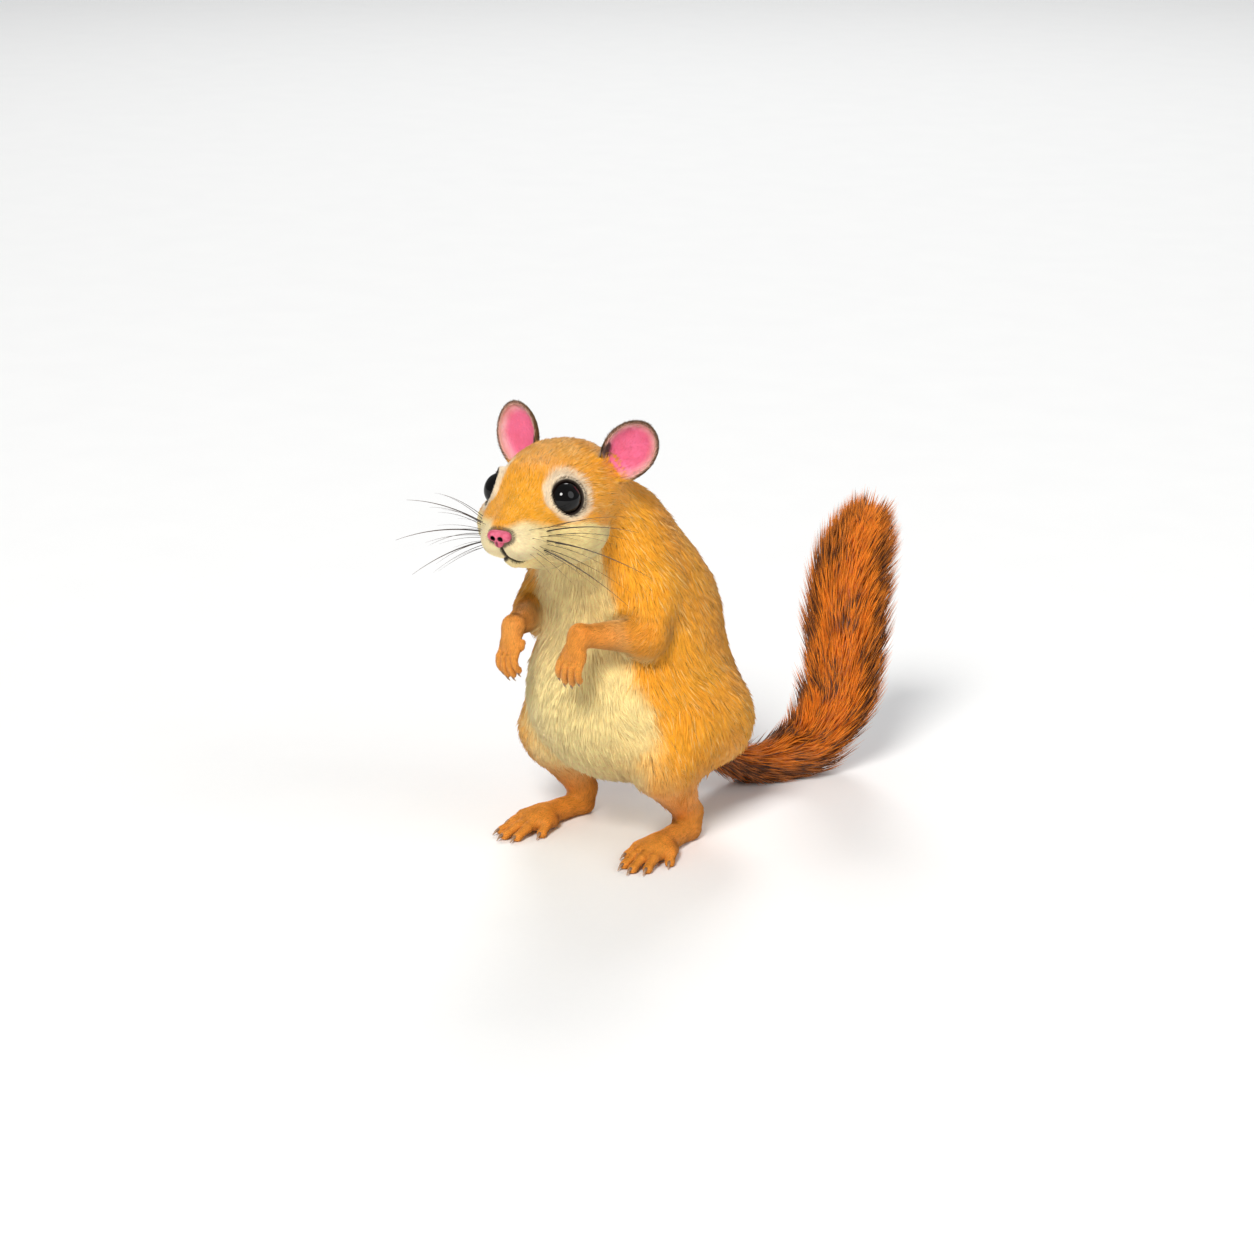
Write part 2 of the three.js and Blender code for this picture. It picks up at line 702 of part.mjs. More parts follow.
/** A row of locks round the core. */
function lockRow(u, around, turn, spread) {
  const width = (LOCK_OVERLAP * 2 * Math.PI * 0.65 * tailRadius(u)) / Math.max(around, 6);
  return Array.from({ length: around }, (_, j) => {
    const angle = (2 * Math.PI * (j + turn + 0.2 * swing())) / around;
    return tailLock(u, angle, width, spread * (1 - 0.12 * draw()));
  });
}

/** All of the tail beyond a cut that flares out with the lie of the hair. */
function tailBeyond(u, shrunk) {
  const flare = LOCK_LENGTHS[1] / tailLength;
  const edge = (t) => {
    const share = clamp((t - u) / flare, 0, 1);
    return lerp(coreRadius(u), tailRadius(u + flare) + 4, share) - shrunk;
  };
  const cup = tube(tailCurve, edge, { from: u, to: u + flare, steps: 2, sides: 9, up: [1, 0, 0] });
  const rim = tailFrame(u + flare);
  rim.centre.addScaledVector(rim.ahead, -GAP);
  return cup.add(blockBeyond(rim.centre, rim.ahead));
}

/** One length of the tail: its core with its own locks, parted from both neighbours. */
function tailPart({ name, from, to, rows, around }) {
  const isTip = name === "tail_tip";
  const core = tube(tailCurve, coreRadius, { from, to, steps: 4, sides: 8, up: [1, 0, 0] });
  const locks = [];
  for (let row = 0; row < rows; row++) {
    const u = lerp(from + FIRST_ROW, to - LAST_ROW, row / (rows - 1));
    locks.push(...lockRow(u, around, 0.5 * (row % 2), 1));
  }
  if (isTip) locks.push(...lockRow(to - LAST_ROW, TIP_LOCKS, 0.25, 0.4));
  let part = locks.reduce((made, one) => made.add(one), core);
  if (from > 0) part = part.intersect(tailBeyond(from, 0));
  return isTip ? part : part.subtract(tailBeyond(to - GAP / tailLength, -GAP));
}

// The assembly

const group = new THREE.Group();
group.name = "gerbil";
function add(name, made, colour, roughness = 0.85) {
  const material = new THREE.MeshStandardMaterial({ color: colour, roughness, metalness: 0 });
  const mesh = new THREE.Mesh(geometryOf(made), material);
  mesh.name = name;
  group.add(mesh);
}

const beyond = (shift) => {
  const { point, direction } = NECK_CUT;
  return blockBeyond(vec(point).addScaledVector(vec(direction), shift), direction);
};
let torso = trunk.subtract(beyond(-GAP / 2));
const neck = largest(trunk.intersect(beyond(GAP / 2)).subtract(headPocket));
for (const side of Object.values(SIDES)) {
  torso = torso.subtract(thigh(side, GAP)).subtract(upperArm(side, GAP));
}
add("torso", largest(torso), FUR_CREAM);
add("neck", neck, FUR_GOLD);
add("head", head, FUR_GOLD);
add("nose", nose, NOSE_PINK, 0.5);

for (const [word, side] of Object.entries(SIDES)) {
  add(`eye_${word}`, eye(side), EYE_BLACK, 0.08);
  add(`whisker_pad_${word}`, largest(whiskerPad(side)), FUR_CREAM);
  add(`ear_${word}`, ear(word), EAR_PINK);
  add(`upper_arm_${word}`, largest(upperArm(side).subtract(beyond(-GAP))), FUR_GOLD);
  const paw = forepaw(side);
  add(
    `forearm_${word}`,
    largest(forearm(side).subtract(upperArm(side, GAP)).subtract(paw.grown).subtract(trunkGrown)),
    PAW_TAN,
  );
  add(`forepaw_${word}`, paw.solid, PAW_TAN);
  const { solid: footSolid, grown: footGrown } = foot(side);
  add(`thigh_${word}`, largest(thigh(side)), FUR_GOLD);
  add(
    `shank_${word}`,
    largest(shank(side).subtract(thigh(side, GAP)).subtract(trunkGrown).subtract(footGrown)),
    PAW_TAN,
  );
  add(`foot_${word}`, largest(footSolid), PAW_TAN);
}

for (const stretch of TAIL_PARTS) {
  let part = tailPart(stretch).subtract(belowFloor);
  if (stretch.from === 0) {
    for (const side of Object.values(SIDES)) part = part.subtract(thigh(side, GAP));
    part = part.subtract(trunkGrown);
  }
  add(stretch.name, largest(part), FUR_RUST);
}

// The origin is the middle of the model's footprint, on the floor.
const box = new THREE.Box3().setFromObject(group);
const middle = box.getCenter(new THREE.Vector3());
group.position.set(-middle.x, -middle.y, -box.min.z);

export default group;
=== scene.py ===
"""A golden gerbil standing upright on its hind feet, dressed over its solids.

Sizes are millimetres in the animal's own frame: +X is its left, it faces -Y, +Z is up and
z = 0 is the floor. Figure.metres takes them to the frame of the solids. The flesh is one
field of distances, negative inside, made of the same bars and ovals as the solids and drawn
in by the depth of the coat. One skin is meshed from it, and the coat grows out of that skin.
"""

import logging
import math
from dataclasses import dataclass, field, fields
from enum import Enum
from typing import Callable, ClassVar, Protocol, Sequence

import bpy
import numpy as np
import openvdb as vdb
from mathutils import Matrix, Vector


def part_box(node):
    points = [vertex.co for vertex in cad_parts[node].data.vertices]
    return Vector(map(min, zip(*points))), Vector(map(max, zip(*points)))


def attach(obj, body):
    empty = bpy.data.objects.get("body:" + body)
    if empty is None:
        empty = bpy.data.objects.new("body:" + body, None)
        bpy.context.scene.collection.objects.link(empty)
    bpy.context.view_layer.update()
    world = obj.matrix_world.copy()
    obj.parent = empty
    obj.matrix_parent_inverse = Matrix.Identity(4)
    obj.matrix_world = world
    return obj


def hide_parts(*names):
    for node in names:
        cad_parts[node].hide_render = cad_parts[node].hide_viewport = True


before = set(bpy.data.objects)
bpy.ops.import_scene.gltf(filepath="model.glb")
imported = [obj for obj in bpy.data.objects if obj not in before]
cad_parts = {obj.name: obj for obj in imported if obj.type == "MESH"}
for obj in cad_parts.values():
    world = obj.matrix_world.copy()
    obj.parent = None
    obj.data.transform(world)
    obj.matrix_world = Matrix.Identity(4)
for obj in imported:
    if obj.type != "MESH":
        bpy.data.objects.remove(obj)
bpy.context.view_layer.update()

Array = np.ndarray
Point = tuple[float, float, float]
MM = 0.001
FAR = 40.0  # a distance that stands for far outside
MARGIN = 1.5  # how far beyond its box a form is still worked out
CLEARANCE = 0.04  # how far the skin keeps off the floor
BLOCK = 8  # voxels along the edge of one block of the grid
BATCH = 1500  # blocks worked out at once
BODY = "root"
SEED = 17

log = logging.getLogger("gerbil")


class Side(Enum):
    """The animal's two sides, with the sign of x on each."""

    LEFT = 1
    RIGHT = -1

    @property
    def word(self) -> str:
        """The side's name, as the solids' names end."""
        return self.name.lower()

    def mirror(self, point: Sequence[float]) -> Point:
        """The point on this side that matches one given for the left."""
        return (point[0] * self.value, point[1], point[2])


class Slot(Enum):
    """The record's material slots."""

    GOLD = "fur_gold"
    CREAM = "fur_cream"
    RUST = "fur_rust"
    PAW = "paw"
    NOSE = "nose_skin"
    EYE = "eye"


def unit(v: Array) -> Array:
    """Vectors along the last axis, brought to length one."""
    v = np.asarray(v, float)
    return v / np.maximum(np.linalg.norm(v, axis=-1, keepdims=True), 1e-9)


def smoothstep(x: Array, low: float, high: float) -> Array:
    """0 up to low, 1 from high on, and a smooth rise between them."""
    t = np.clip((np.asarray(x) - low) / (high - low), 0, 1)
    return t * t * (3 - 2 * t)


def mix(a: Array | float, b: Array | float, t: Array | float) -> Array:
    """From a, where t is 0, to b, where t is 1."""
    return a + (b - a) * t


def smooth_min(a: Array, b: Array, k: float) -> Array:
    """The lesser of two fields, run together over about k millimetres."""
    h = np.maximum(k - np.abs(a - b), 0) / k
    return np.minimum(a, b) - h * h * k / 4


def turned(axis: int, degrees: float) -> Array:
    """The matrix of a turn about one axis.

    Args:
        axis: 0, 1 or 2 for x, y or z.
        degrees: How far.

    Returns:
        A matrix of three by three.
    """
    c, s = math.cos(math.radians(degrees)), math.sin(math.radians(degrees))
    matrix = np.eye(3)
    i, j = [(1, 2), (2, 0), (0, 1)][axis]
    matrix[i, i] = matrix[j, j] = c
    matrix[i, j], matrix[j, i] = -s, s
    return matrix


def light_of(red: int, green: int, blue: int) -> Point:
    """The linear light of a colour given as a screen shows it.

    Args:
        red, green, blue: From 0 to 255.

    Returns:
        The three amounts of light, from 0 to 1.
    """
    shown = np.array([red, green, blue]) / 255
    linear = np.where(shown <= 0.04045, shown / 12.92, ((shown + 0.055) / 1.055) ** 2.4)
    return tuple(float(c) for c in linear)


def paint(red: int, green: int, blue: int) -> tuple[float, ...]:
    """The same light as light_of, ready for the colour socket of a shader."""
    return (*light_of(red, green, blue), 1.0)


def toward(colour: Array, goal: Point, share: Array) -> Array:
    """Colours taken some of the way to another one, with a share for each."""
    return mix(colour, np.array(goal), share[:, None])


@dataclass(frozen=True)
class Palette:
    """The coat's and the bare skin's colours."""

    gold: Point = light_of(250, 176, 42)
    deep_gold: Point = light_of(230, 142, 28)
    cream: Point = light_of(255, 235, 168)
    white: Point = light_of(255, 246, 222)
    tan: Point = light_of(242, 158, 58)
    rust: Point = light_of(220, 124, 20)
    flame: Point = light_of(255, 144, 22)
    sable: Point = light_of(34, 20, 13)
    pink: Point = light_of(248, 118, 158)


PALETTE = Palette()


@dataclass(frozen=True)
class Placement:
    """A part's own axes in the animal's frame."""

    origin: Array = field(default_factory=lambda: np.zeros(3))
    axes: Array = field(default_factory=lambda: np.eye(3))
    scale: float = 1.0

    def out(self, points: Array | Sequence[float]) -> Array:
        """Points of the part's axes, in the animal's."""
        return self.origin + (np.asarray(points, float) * self.scale) @ self.axes.T

    def into(self, points: Array) -> Array:
        """Points of the animal's axes, in the part's."""
        return ((points - self.origin) @ self.axes) / self.scale

    def aim(self, directions: Array | Sequence[float]) -> Array:
        """Directions of the part's axes, in the animal's."""
        return np.asarray(directions, float) @ self.axes.T


class Form(Protocol):
    """A closed shape given by distances."""

    def distance(self, p: Array) -> Array:
        """How far outside the shape each point lies, negative inside."""

    def limits(self) -> tuple[Array, Array]:
        """The lowest and highest corners of the shape's box."""


@dataclass(frozen=True)
class Bar:
    """A tapered bar with round ends."""

    start: Sequence[float]
    end: Sequence[float]
    first: float
    last: float

    def distance(self, p: Array) -> Array:
        """How far outside the bar each point lies.

        Args:
            p: Points, one a row.

        Returns:
            A distance for each, negative inside.
        """
        start, end = np.asarray(self.start, p.dtype), np.asarray(self.end, p.dtype)
        line = end - start
        away = p - start
        t = np.clip(away @ line / (line @ line), 0, 1)
        away -= t[:, None] * line
        return np.sqrt(np.einsum("ij,ij->i", away, away)) - mix(self.first, self.last, t)

    def limits(self) -> tuple[Array, Array]:
        """The bar's box.

        Returns:
            Its lowest and highest corners.
        """
        ends = np.array([self.start, self.end], float)
        thick = max(self.first, self.last)
        return ends.min(0) - thick, ends.max(0) + thick


@dataclass(frozen=True)
class Oval:
    """An oval with its own three radii."""

    centre: Sequence[float]
    radii: Sequence[float]

    def on(self, side: Side) -> "Oval":
        """The oval on a side that matches this one on the left."""
        return Oval(side.mirror(self.centre), self.radii)

    def distance(self, p: Array) -> Array:
        """How far outside the oval each point lies, nearly.

        Args:
            p: Points, one a row.

        Returns:
            A distance for each, negative inside.
        """
        radii = np.asarray(self.radii, p.dtype)
        away = (p - np.asarray(self.centre, p.dtype)) / radii
        near = np.sqrt(np.einsum("ij,ij->i", away, away))
        away /= radii
        slope = np.sqrt(np.einsum("ij,ij->i", away, away))
        return near * (near - 1) / np.maximum(slope, 1e-6)

    def limits(self) -> tuple[Array, Array]:
        """The oval's box."""
        centre, radii = np.array(self.centre, float), np.array(self.radii, float)
        return centre - radii, centre + radii


@dataclass(frozen=True)
class Blend:
    """Forms run together over about k millimetres."""

    k: float
    forms: Sequence[Form]

    def distance(self, p: Array) -> Array:
        """How far outside the joined forms each point lies.

        Args:
            p: Points, one a row.

        Returns:
            A distance for each, negative inside.
        """
        found = np.full(len(p), FAR, p.dtype)
        for form in self.forms:
            low, high = form.limits()
            near = inside(p, low, high, self.k + MARGIN)
            if near.any():
                found[near] = smooth_min(found[near], form.distance(p[near]), self.k)
        return found

    def limits(self) -> tuple[Array, Array]:
        """The box round all of the forms."""
        boxes = np.array([form.limits() for form in self.forms])
        return boxes[:, 0].min(0), boxes[:, 1].max(0)


def inside(p: Array, low: Array, high: Array, margin: float) -> Array:
    """Which points lie in a box, or within a margin of it.

    Args:
        p: Points, one a row.
        low, high: The box's corners.
        margin: How far round it.

    Returns:
        Whether each point does.
    """
    within = np.ones(len(p), bool)
    for axis in range(3):
        within &= (p[:, axis] > low[axis] - margin) & (p[:, axis] < high[axis] + margin)
    return within


def smooth_line(points: Sequence[Sequence[float]], count: int) -> Array:
    """Evenly spaced points on a centripetal spline through a few.

    Args:
        points: The points that the line passes through.
        count: How many points to return.

    Returns:
        An array of count points, spaced evenly along the line.
    """
    given = np.array(points, float)
    whole = np.vstack([2 * given[0] - given[1], given, 2 * given[-1] - given[-2]])
    fine = []
    for p0, p1, p2, p3 in zip(whole, whole[1:], whole[2:], whole[3:]):
        d0, d1, d2 = (math.sqrt(np.linalg.norm(b - a)) for a, b in ((p0, p1), (p1, p2), (p2, p3)))
        m1 = ((p1 - p0) / d0 - (p2 - p0) / (d0 + d1) + (p2 - p1) / d1) * d1
        m2 = ((p2 - p1) / d1 - (p3 - p1) / (d1 + d2) + (p3 - p2) / d2) * d1
        t = np.linspace(0, 1, 60, endpoint=False)[:, None]
        fine.append(
            (2 * t**3 - 3 * t**2 + 1) * p1
            + (t**3 - 2 * t**2 + t) * m1
            + (3 * t**2 - 2 * t**3) * p2
            + (t**3 - t**2) * m2
        )
    line = np.vstack([*fine, given[-1:]])
    length = np.concatenate([[0], np.cumsum(np.linalg.norm(np.diff(line, axis=0), axis=1))])
    wanted = np.linspace(0, length[-1], count)
    return np.stack([np.interp(wanted, length, line[:, axis]) for axis in range(3)], 1)


def linked(points: Array, radii: Array, k: float) -> Blend:
    """Bars end to end along a line, with a radius for each of its points."""
    bars = [Bar(a, b, ra, rb) for a, b, ra, rb in zip(points, points[1:], radii, radii[1:])]
    return Blend(k, bars)


def chain(points: Array, first: float, last: float, k: float = 0.3) -> Blend:
    """Bars end to end along a line, with the radius going from first to last."""
    return linked(points, np.linspace(first, last, len(points)), k)


def steady(way: Sequence[float]) -> Callable[[Array], Array]:
    """A lie of the coat that is the same everywhere."""
    return lambda p: np.broadcast_to(way, p.shape)


class Ripple:
    """Smooth waves through space that are the same each run."""

    def __init__(self, size: float, seed: int) -> None:
        """Draws the waves.

        Args:
            size: About how far apart two crests lie.
            seed: Any number, which settles the waves.
        """
        draw = np.random.default_rng(seed)
        self.ways = unit(draw.normal(size=(9, 3))) * draw.uniform(0.6, 1.5, (9, 1))
        self.ways *= 2 * math.pi / size
        self.starts = draw.uniform(0, 2 * math.pi, 9)

    def at(self, p: Array) -> Array:
        """The waves' height at each point, mostly between -1 and 1."""
        return np.sin(p @ self.ways.T + self.starts).sum(1) / 3.2


@dataclass(frozen=True)
class Hair:
    """How the coat grows on a part.

    near and far are the hair's lengths at a place and at a distance of reach from it.
    """

    place: Sequence[float]
    near: float
    far: float
    reach: float
    lift: float = 16.0
    layers: float = 8.0

    def length(self, p: Array) -> Array:
        """The hair's length at each point."""
        away = np.linalg.norm(p - np.asarray(self.place), axis=1)
        return mix(self.near, self.far, smoothstep(away, 0, self.reach))


NO_HAIR = Hair((0, 0, 0), 1, 1, 1, layers=0)


@dataclass
class Region:
    """A part of the flesh, and how its coat lies.

    The skin is drawn in from the form by depth, and runs into its neighbours over join.
    piece is the part of the coat that its tufts belong to.
    """

    name: str
    form: Form
    lie: Callable[[Array], Array]
    hair: Hair
    axis: tuple[Array, Array]
    place: Placement = field(default_factory=Placement)
    depth: float = 0.0
    join: float = 1.0
    piece: str = ""

    def distance(self, p: Array) -> Array:
        """How far outside this part's skin each point lies."""
        local = self.place.into(p).astype(p.dtype)
        return self.form.distance(local) * self.place.scale + self.depth

    def box(self) -> tuple[Array, Array]:
        """The lowest and highest corners of a box round this part, in the animal's frame.

        Returns:
            The two corners.
        """
        low, high = self.form.limits()
        corners = np.array([[x, y, z] for x in (0, 1) for y in (0, 1) for z in (0, 1)])
        world = self.place.out(low + corners * (high - low))
        return world.min(0), world.max(0)

    def near(self, p: Array) -> Array:
        """Which points lie close enough for this part to matter."""
        return inside(p, *self.box(), self.join + MARGIN)

    def unwrapped(self, p: Array) -> Array:
        """Each point's place on a sheet rolled round this part's own axis, from 0 to 1.

        Args:
            p: Points, one a row.

        Returns:
            Two numbers for each.
        """
        start, end = (np.asarray(a, float) for a in self.axis)
        way = unit(end - start)
        side = unit(np.cross(way, (0.31, -0.9, 0.3)))
        over = np.cross(way, side)
        away = p - start
        angle = np.arctan2(away @ over, away @ side) / (2 * math.pi) + 0.5
        along = (away @ way) / np.linalg.norm(end - start)
        return np.stack([angle, np.clip(0.2 + 0.6 * along, 0, 1)], 1)


@dataclass(frozen=True)
class Cut:
    """A hollow pressed into the flesh."""

    form: Form
    place: Placement
    k: float


class Flesh:
    """All of the animal's flesh as one field."""

    def __init__(self, regions: list[Region], cuts: list[Cut]) -> None:
        """Keeps the parts.

        Args:
            regions: The parts, which run together.
            cuts: The hollows pressed into them.
        """
        self.regions = regions
        self.cuts = cuts

    def distance(self, p: Array) -> Array:
        """How far outside the skin each point lies.

        Args:
            p: Points, one a row.

        Returns:
            A distance for each, negative inside.
        """
        found = np.full(len(p), FAR, p.dtype)
        for region in self.regions:
            near = region.near(p)
            if near.any():
                found[near] = smooth_min(found[near], region.distance(p[near]), region.join)
        for cut in self.cuts:
            low, high = cut.form.limits()
            local = cut.place.into(p).astype(p.dtype)
            near = inside(local, low, high, MARGIN)
            if near.any():
                hollow = -cut.form.distance(local[near]) * cut.place.scale
                found[near] = -smooth_min(-found[near], -hollow, cut.k)
        return np.maximum(found, CLEARANCE - p[:, 2])

    def slope(self, p: Array, step: float = 0.06) -> Array:
        """The direction straight out of the skin at each point."""
        ways = np.eye(3) * step
        return unit(np.stack([self.distance(p + w) - self.distance(p - w) for w in ways], 1))

    def settle(self, p: Array, rounds: int = 3) -> Array:
        """The points, moved along the slope until they lie on the skin.

        Args:
            p: Points, one a row.
            rounds: How often they are moved.

        Returns:
            The points, moved.
        """
        p = np.array(p, float)
        for _ in range(rounds):
            p -= self.slope(p) * np.clip(self.distance(p), -1, 1)[:, None]
        return p

    def cast(self, core: Array, ways: Array, reach: float = 24) -> Array:
        """Where rays from a core inside the flesh leave it for good.

        Args:
            core: Where the rays start.
            ways: Where each goes.
            reach: How far out the flesh is looked for.

        Returns:
            A point on the skin for each ray.
        """
        steps = np.linspace(reach, 0, 240)
        found = []
        for way in unit(ways):
            d = self.distance(core + steps[:, None] * way)
            found.append(core + steps[max(int(np.argmax(d <= 0)), 1)] * way)
        return self.settle(np.array(found), 2)

    def apart(self, p: Array) -> Array:
        """How far each point lies from each region's own skin, one column a region."""
        return np.stack([r.distance(p) for r in self.regions], 1)


def shared(apart: Array, soft: float = 1.1) -> Array:
    """How much of each region there is at each point, adding up to one.

    Args:
        apart: The points' distances from each region.
        soft: About how far, in millimetres, one region fades into the next.

    Returns:
        The shares, one column a region.
    """
    weight = np.exp(-(apart - apart.min(1, keepdims=True)) / soft)
    return weight / weight.sum(1, keepdims=True)


class Figure:
    """Where the animal stands in the frame of the solids."""

    def __init__(self, eye: Array) -> None:
        """Finds the shift from the animal's own frame.

        Args:
            eye: The left eye's centre in the animal's frame.
        """
        low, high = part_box("eye_left")
        self.shift = (np.array(low) + np.array(high)) / 2 / MM - eye

    def metres(self, p: Array) -> Array:
        """Points in the solids' frame."""
        return (np.asarray(p) + self.shift) * MM


@dataclass
class Sheet:
    """A mesh that isn't in Blender yet: its vertices, faces and what they carry."""

    points: Array
    triangles: Array
    quads: Array = field(default_factory=lambda: np.zeros((0, 4), int))
    numbers: dict[str, Array] = field(default_factory=dict)
    colours: Array | None = None
    normals: Array | None = None
    spots: Array | None = None

    def build(self, name: str, figure: Figure, finishes: Sequence["Finish"]) -> bpy.types.Object:
        """Makes the object.

        Args:
            name: The piece's name.
            figure: Takes the points to the solids' frame.
            finishes: The materials, in the order of the faces' numbers.

        Returns:
            The new object, riding on the body.
        """
        mesh = bpy.data.meshes.new(name)
        loops = np.concatenate([self.triangles.ravel(), self.quads.ravel()]).astype(np.int32)
        corners = np.repeat([3, 4], [len(self.triangles), len(self.quads)]).astype(np.int32)
        mesh.vertices.add(len(self.points))
        mesh.vertices.foreach_set("co", figure.metres(self.points).astype(np.float32).ravel())
        mesh.loops.add(len(loops))
        mesh.loops.foreach_set("vertex_index", loops)
        mesh.polygons.add(len(corners))
        starts = np.concatenate([[0], np.cumsum(corners)[:-1]]).astype(np.int32)
        mesh.polygons.foreach_set("loop_start", starts)
        if self.spots is not None:
            layer = mesh.uv_layers.new(name="OFBake")
            layer.data.foreach_set("uv", self.spots[loops].astype(np.float32).ravel())
        for key, values in self.numbers.items():
            made = mesh.attributes.new(key, "FLOAT", "POINT")
            made.data.foreach_set("value", values.astype(np.float32))
        if self.colours is not None:
            made = mesh.attributes.new("coat", "FLOAT_COLOR", "POINT")
            rgba = np.concatenate([self.colours, np.ones((len(self.colours), 1))], 1)
            made.data.foreach_set("color", rgba.astype(np.float32).ravel())
        for finish in finishes:
            mesh.materials.append(finish.material())
        mesh.update(calc_edges=True)
        if self.normals is not None:
            mesh.normals_split_custom_set_from_vertices(self.normals.tolist())
        made = bpy.data.objects.new(name, mesh)
        bpy.context.scene.collection.objects.link(made)
        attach(made, BODY)
        return made


def tube_sheet(lines: Array, radii: Array, sides: int = 5) -> Sheet:
    """Closed tapered tubes along many lines at once.

    Args:
        lines: The points of each line, lines by points by three.
        radii: The radius at each point, lines by points.
        sides: How many sides a tube has.

    Returns:
        One sheet that holds all of the tubes.
    """
    many, steps = lines.shape[:2]
    ahead = unit(np.gradient(lines, axis=1))
    across = unit(np.cross(ahead, (0.29, 0.41, 0.86)))
    over = np.cross(ahead, across)
    angle = 2 * math.pi * np.arange(sides) / sides
    ring = (
        across[:, :, None] * np.cos(angle)[:, None] + over[:, :, None] * np.sin(angle)[:, None]
    )
    rings = lines[:, :, None] + ring * radii[:, :, None, None]
    points = np.concatenate([rings.reshape(many, -1, 3), lines[:, [0, -1]]], 1)
    each = steps * sides
    j = np.arange(sides)
    k = (j + 1) % sides
    faces = [np.stack([np.full(sides, each), k, j], 1)]
    for i in range(0, each - sides, sides):
        faces.append(np.stack([i + j, i + k, i + sides + j], 1))
        faces.append(np.stack([i + k, i + sides + k, i + sides + j], 1))
    last = each - sides
    faces.append(np.stack([np.full(sides, each + 1), last + j, last + k], 1))
    one = np.concatenate(faces)
    whole = (one[None] + (np.arange(many) * (each + 2))[:, None, None]).reshape(-1, 3)
    along = np.concatenate([np.repeat(np.linspace(0, 1, steps), sides), [0, 1]])
    return Sheet(points.reshape(-1, 3), whole, numbers={"along": np.tile(along, many)})


def ball(around: int, rings: int) -> tuple[Array, Array, Array]:
    """A ball of radius one, with its poles on the z axis.

    Args:
        around: How many faces there are round it.
        rings: How many there are from pole to pole.

    Returns:
        Its points, the triangles at the poles and the quads between them.
    """
    polar = np.linspace(0, math.pi, rings + 1)[1:-1, None]
    turn = np.linspace(0, 2 * math.pi, around, endpoint=False)
    x, y, z = np.broadcast_arrays(
        np.sin(polar) * np.cos(turn), np.sin(polar) * np.sin(turn), np.cos(polar)
    )
    points = np.vstack([np.stack([x, y, z], 2).reshape(-1, 3), [[0, 0, 1], [0, 0, -1]]])
    i, j = np.meshgrid(np.arange(rings - 2) * around, np.arange(around), indexing="ij")
    k = (j + 1) % around
    quads = np.stack([i + j, i + around + j, i + around + k, i + k], 2).reshape(-1, 4)
    j, k = j[0], k[0]
    top, last = len(points) - 2, (rings - 2) * around
    caps = np.concatenate([
        np.stack([np.full(around, top), j, k], 1),
        np.stack([np.full(around, top + 1), last + k, last + j], 1),
    ])
    return points, caps, quads


class Finish:
    """A surface's look, made once and shared by the pieces that wear it."""

    name: str

    def material(self) -> bpy.types.Material:
        """The Blender material, made on first use.

        Returns:
            The material.
        """
        made = bpy.data.materials.get(self.name)
        if made is None:
            made = bpy.data.materials.new(self.name)
            made.use_nodes = True
            made.node_tree.nodes.clear()
            self.dress(NodeMaker(made.node_tree))
        return made

    def dress(self, make: "NodeMaker") -> None:
        """Lays out the material's nodes."""
        raise NotImplementedError


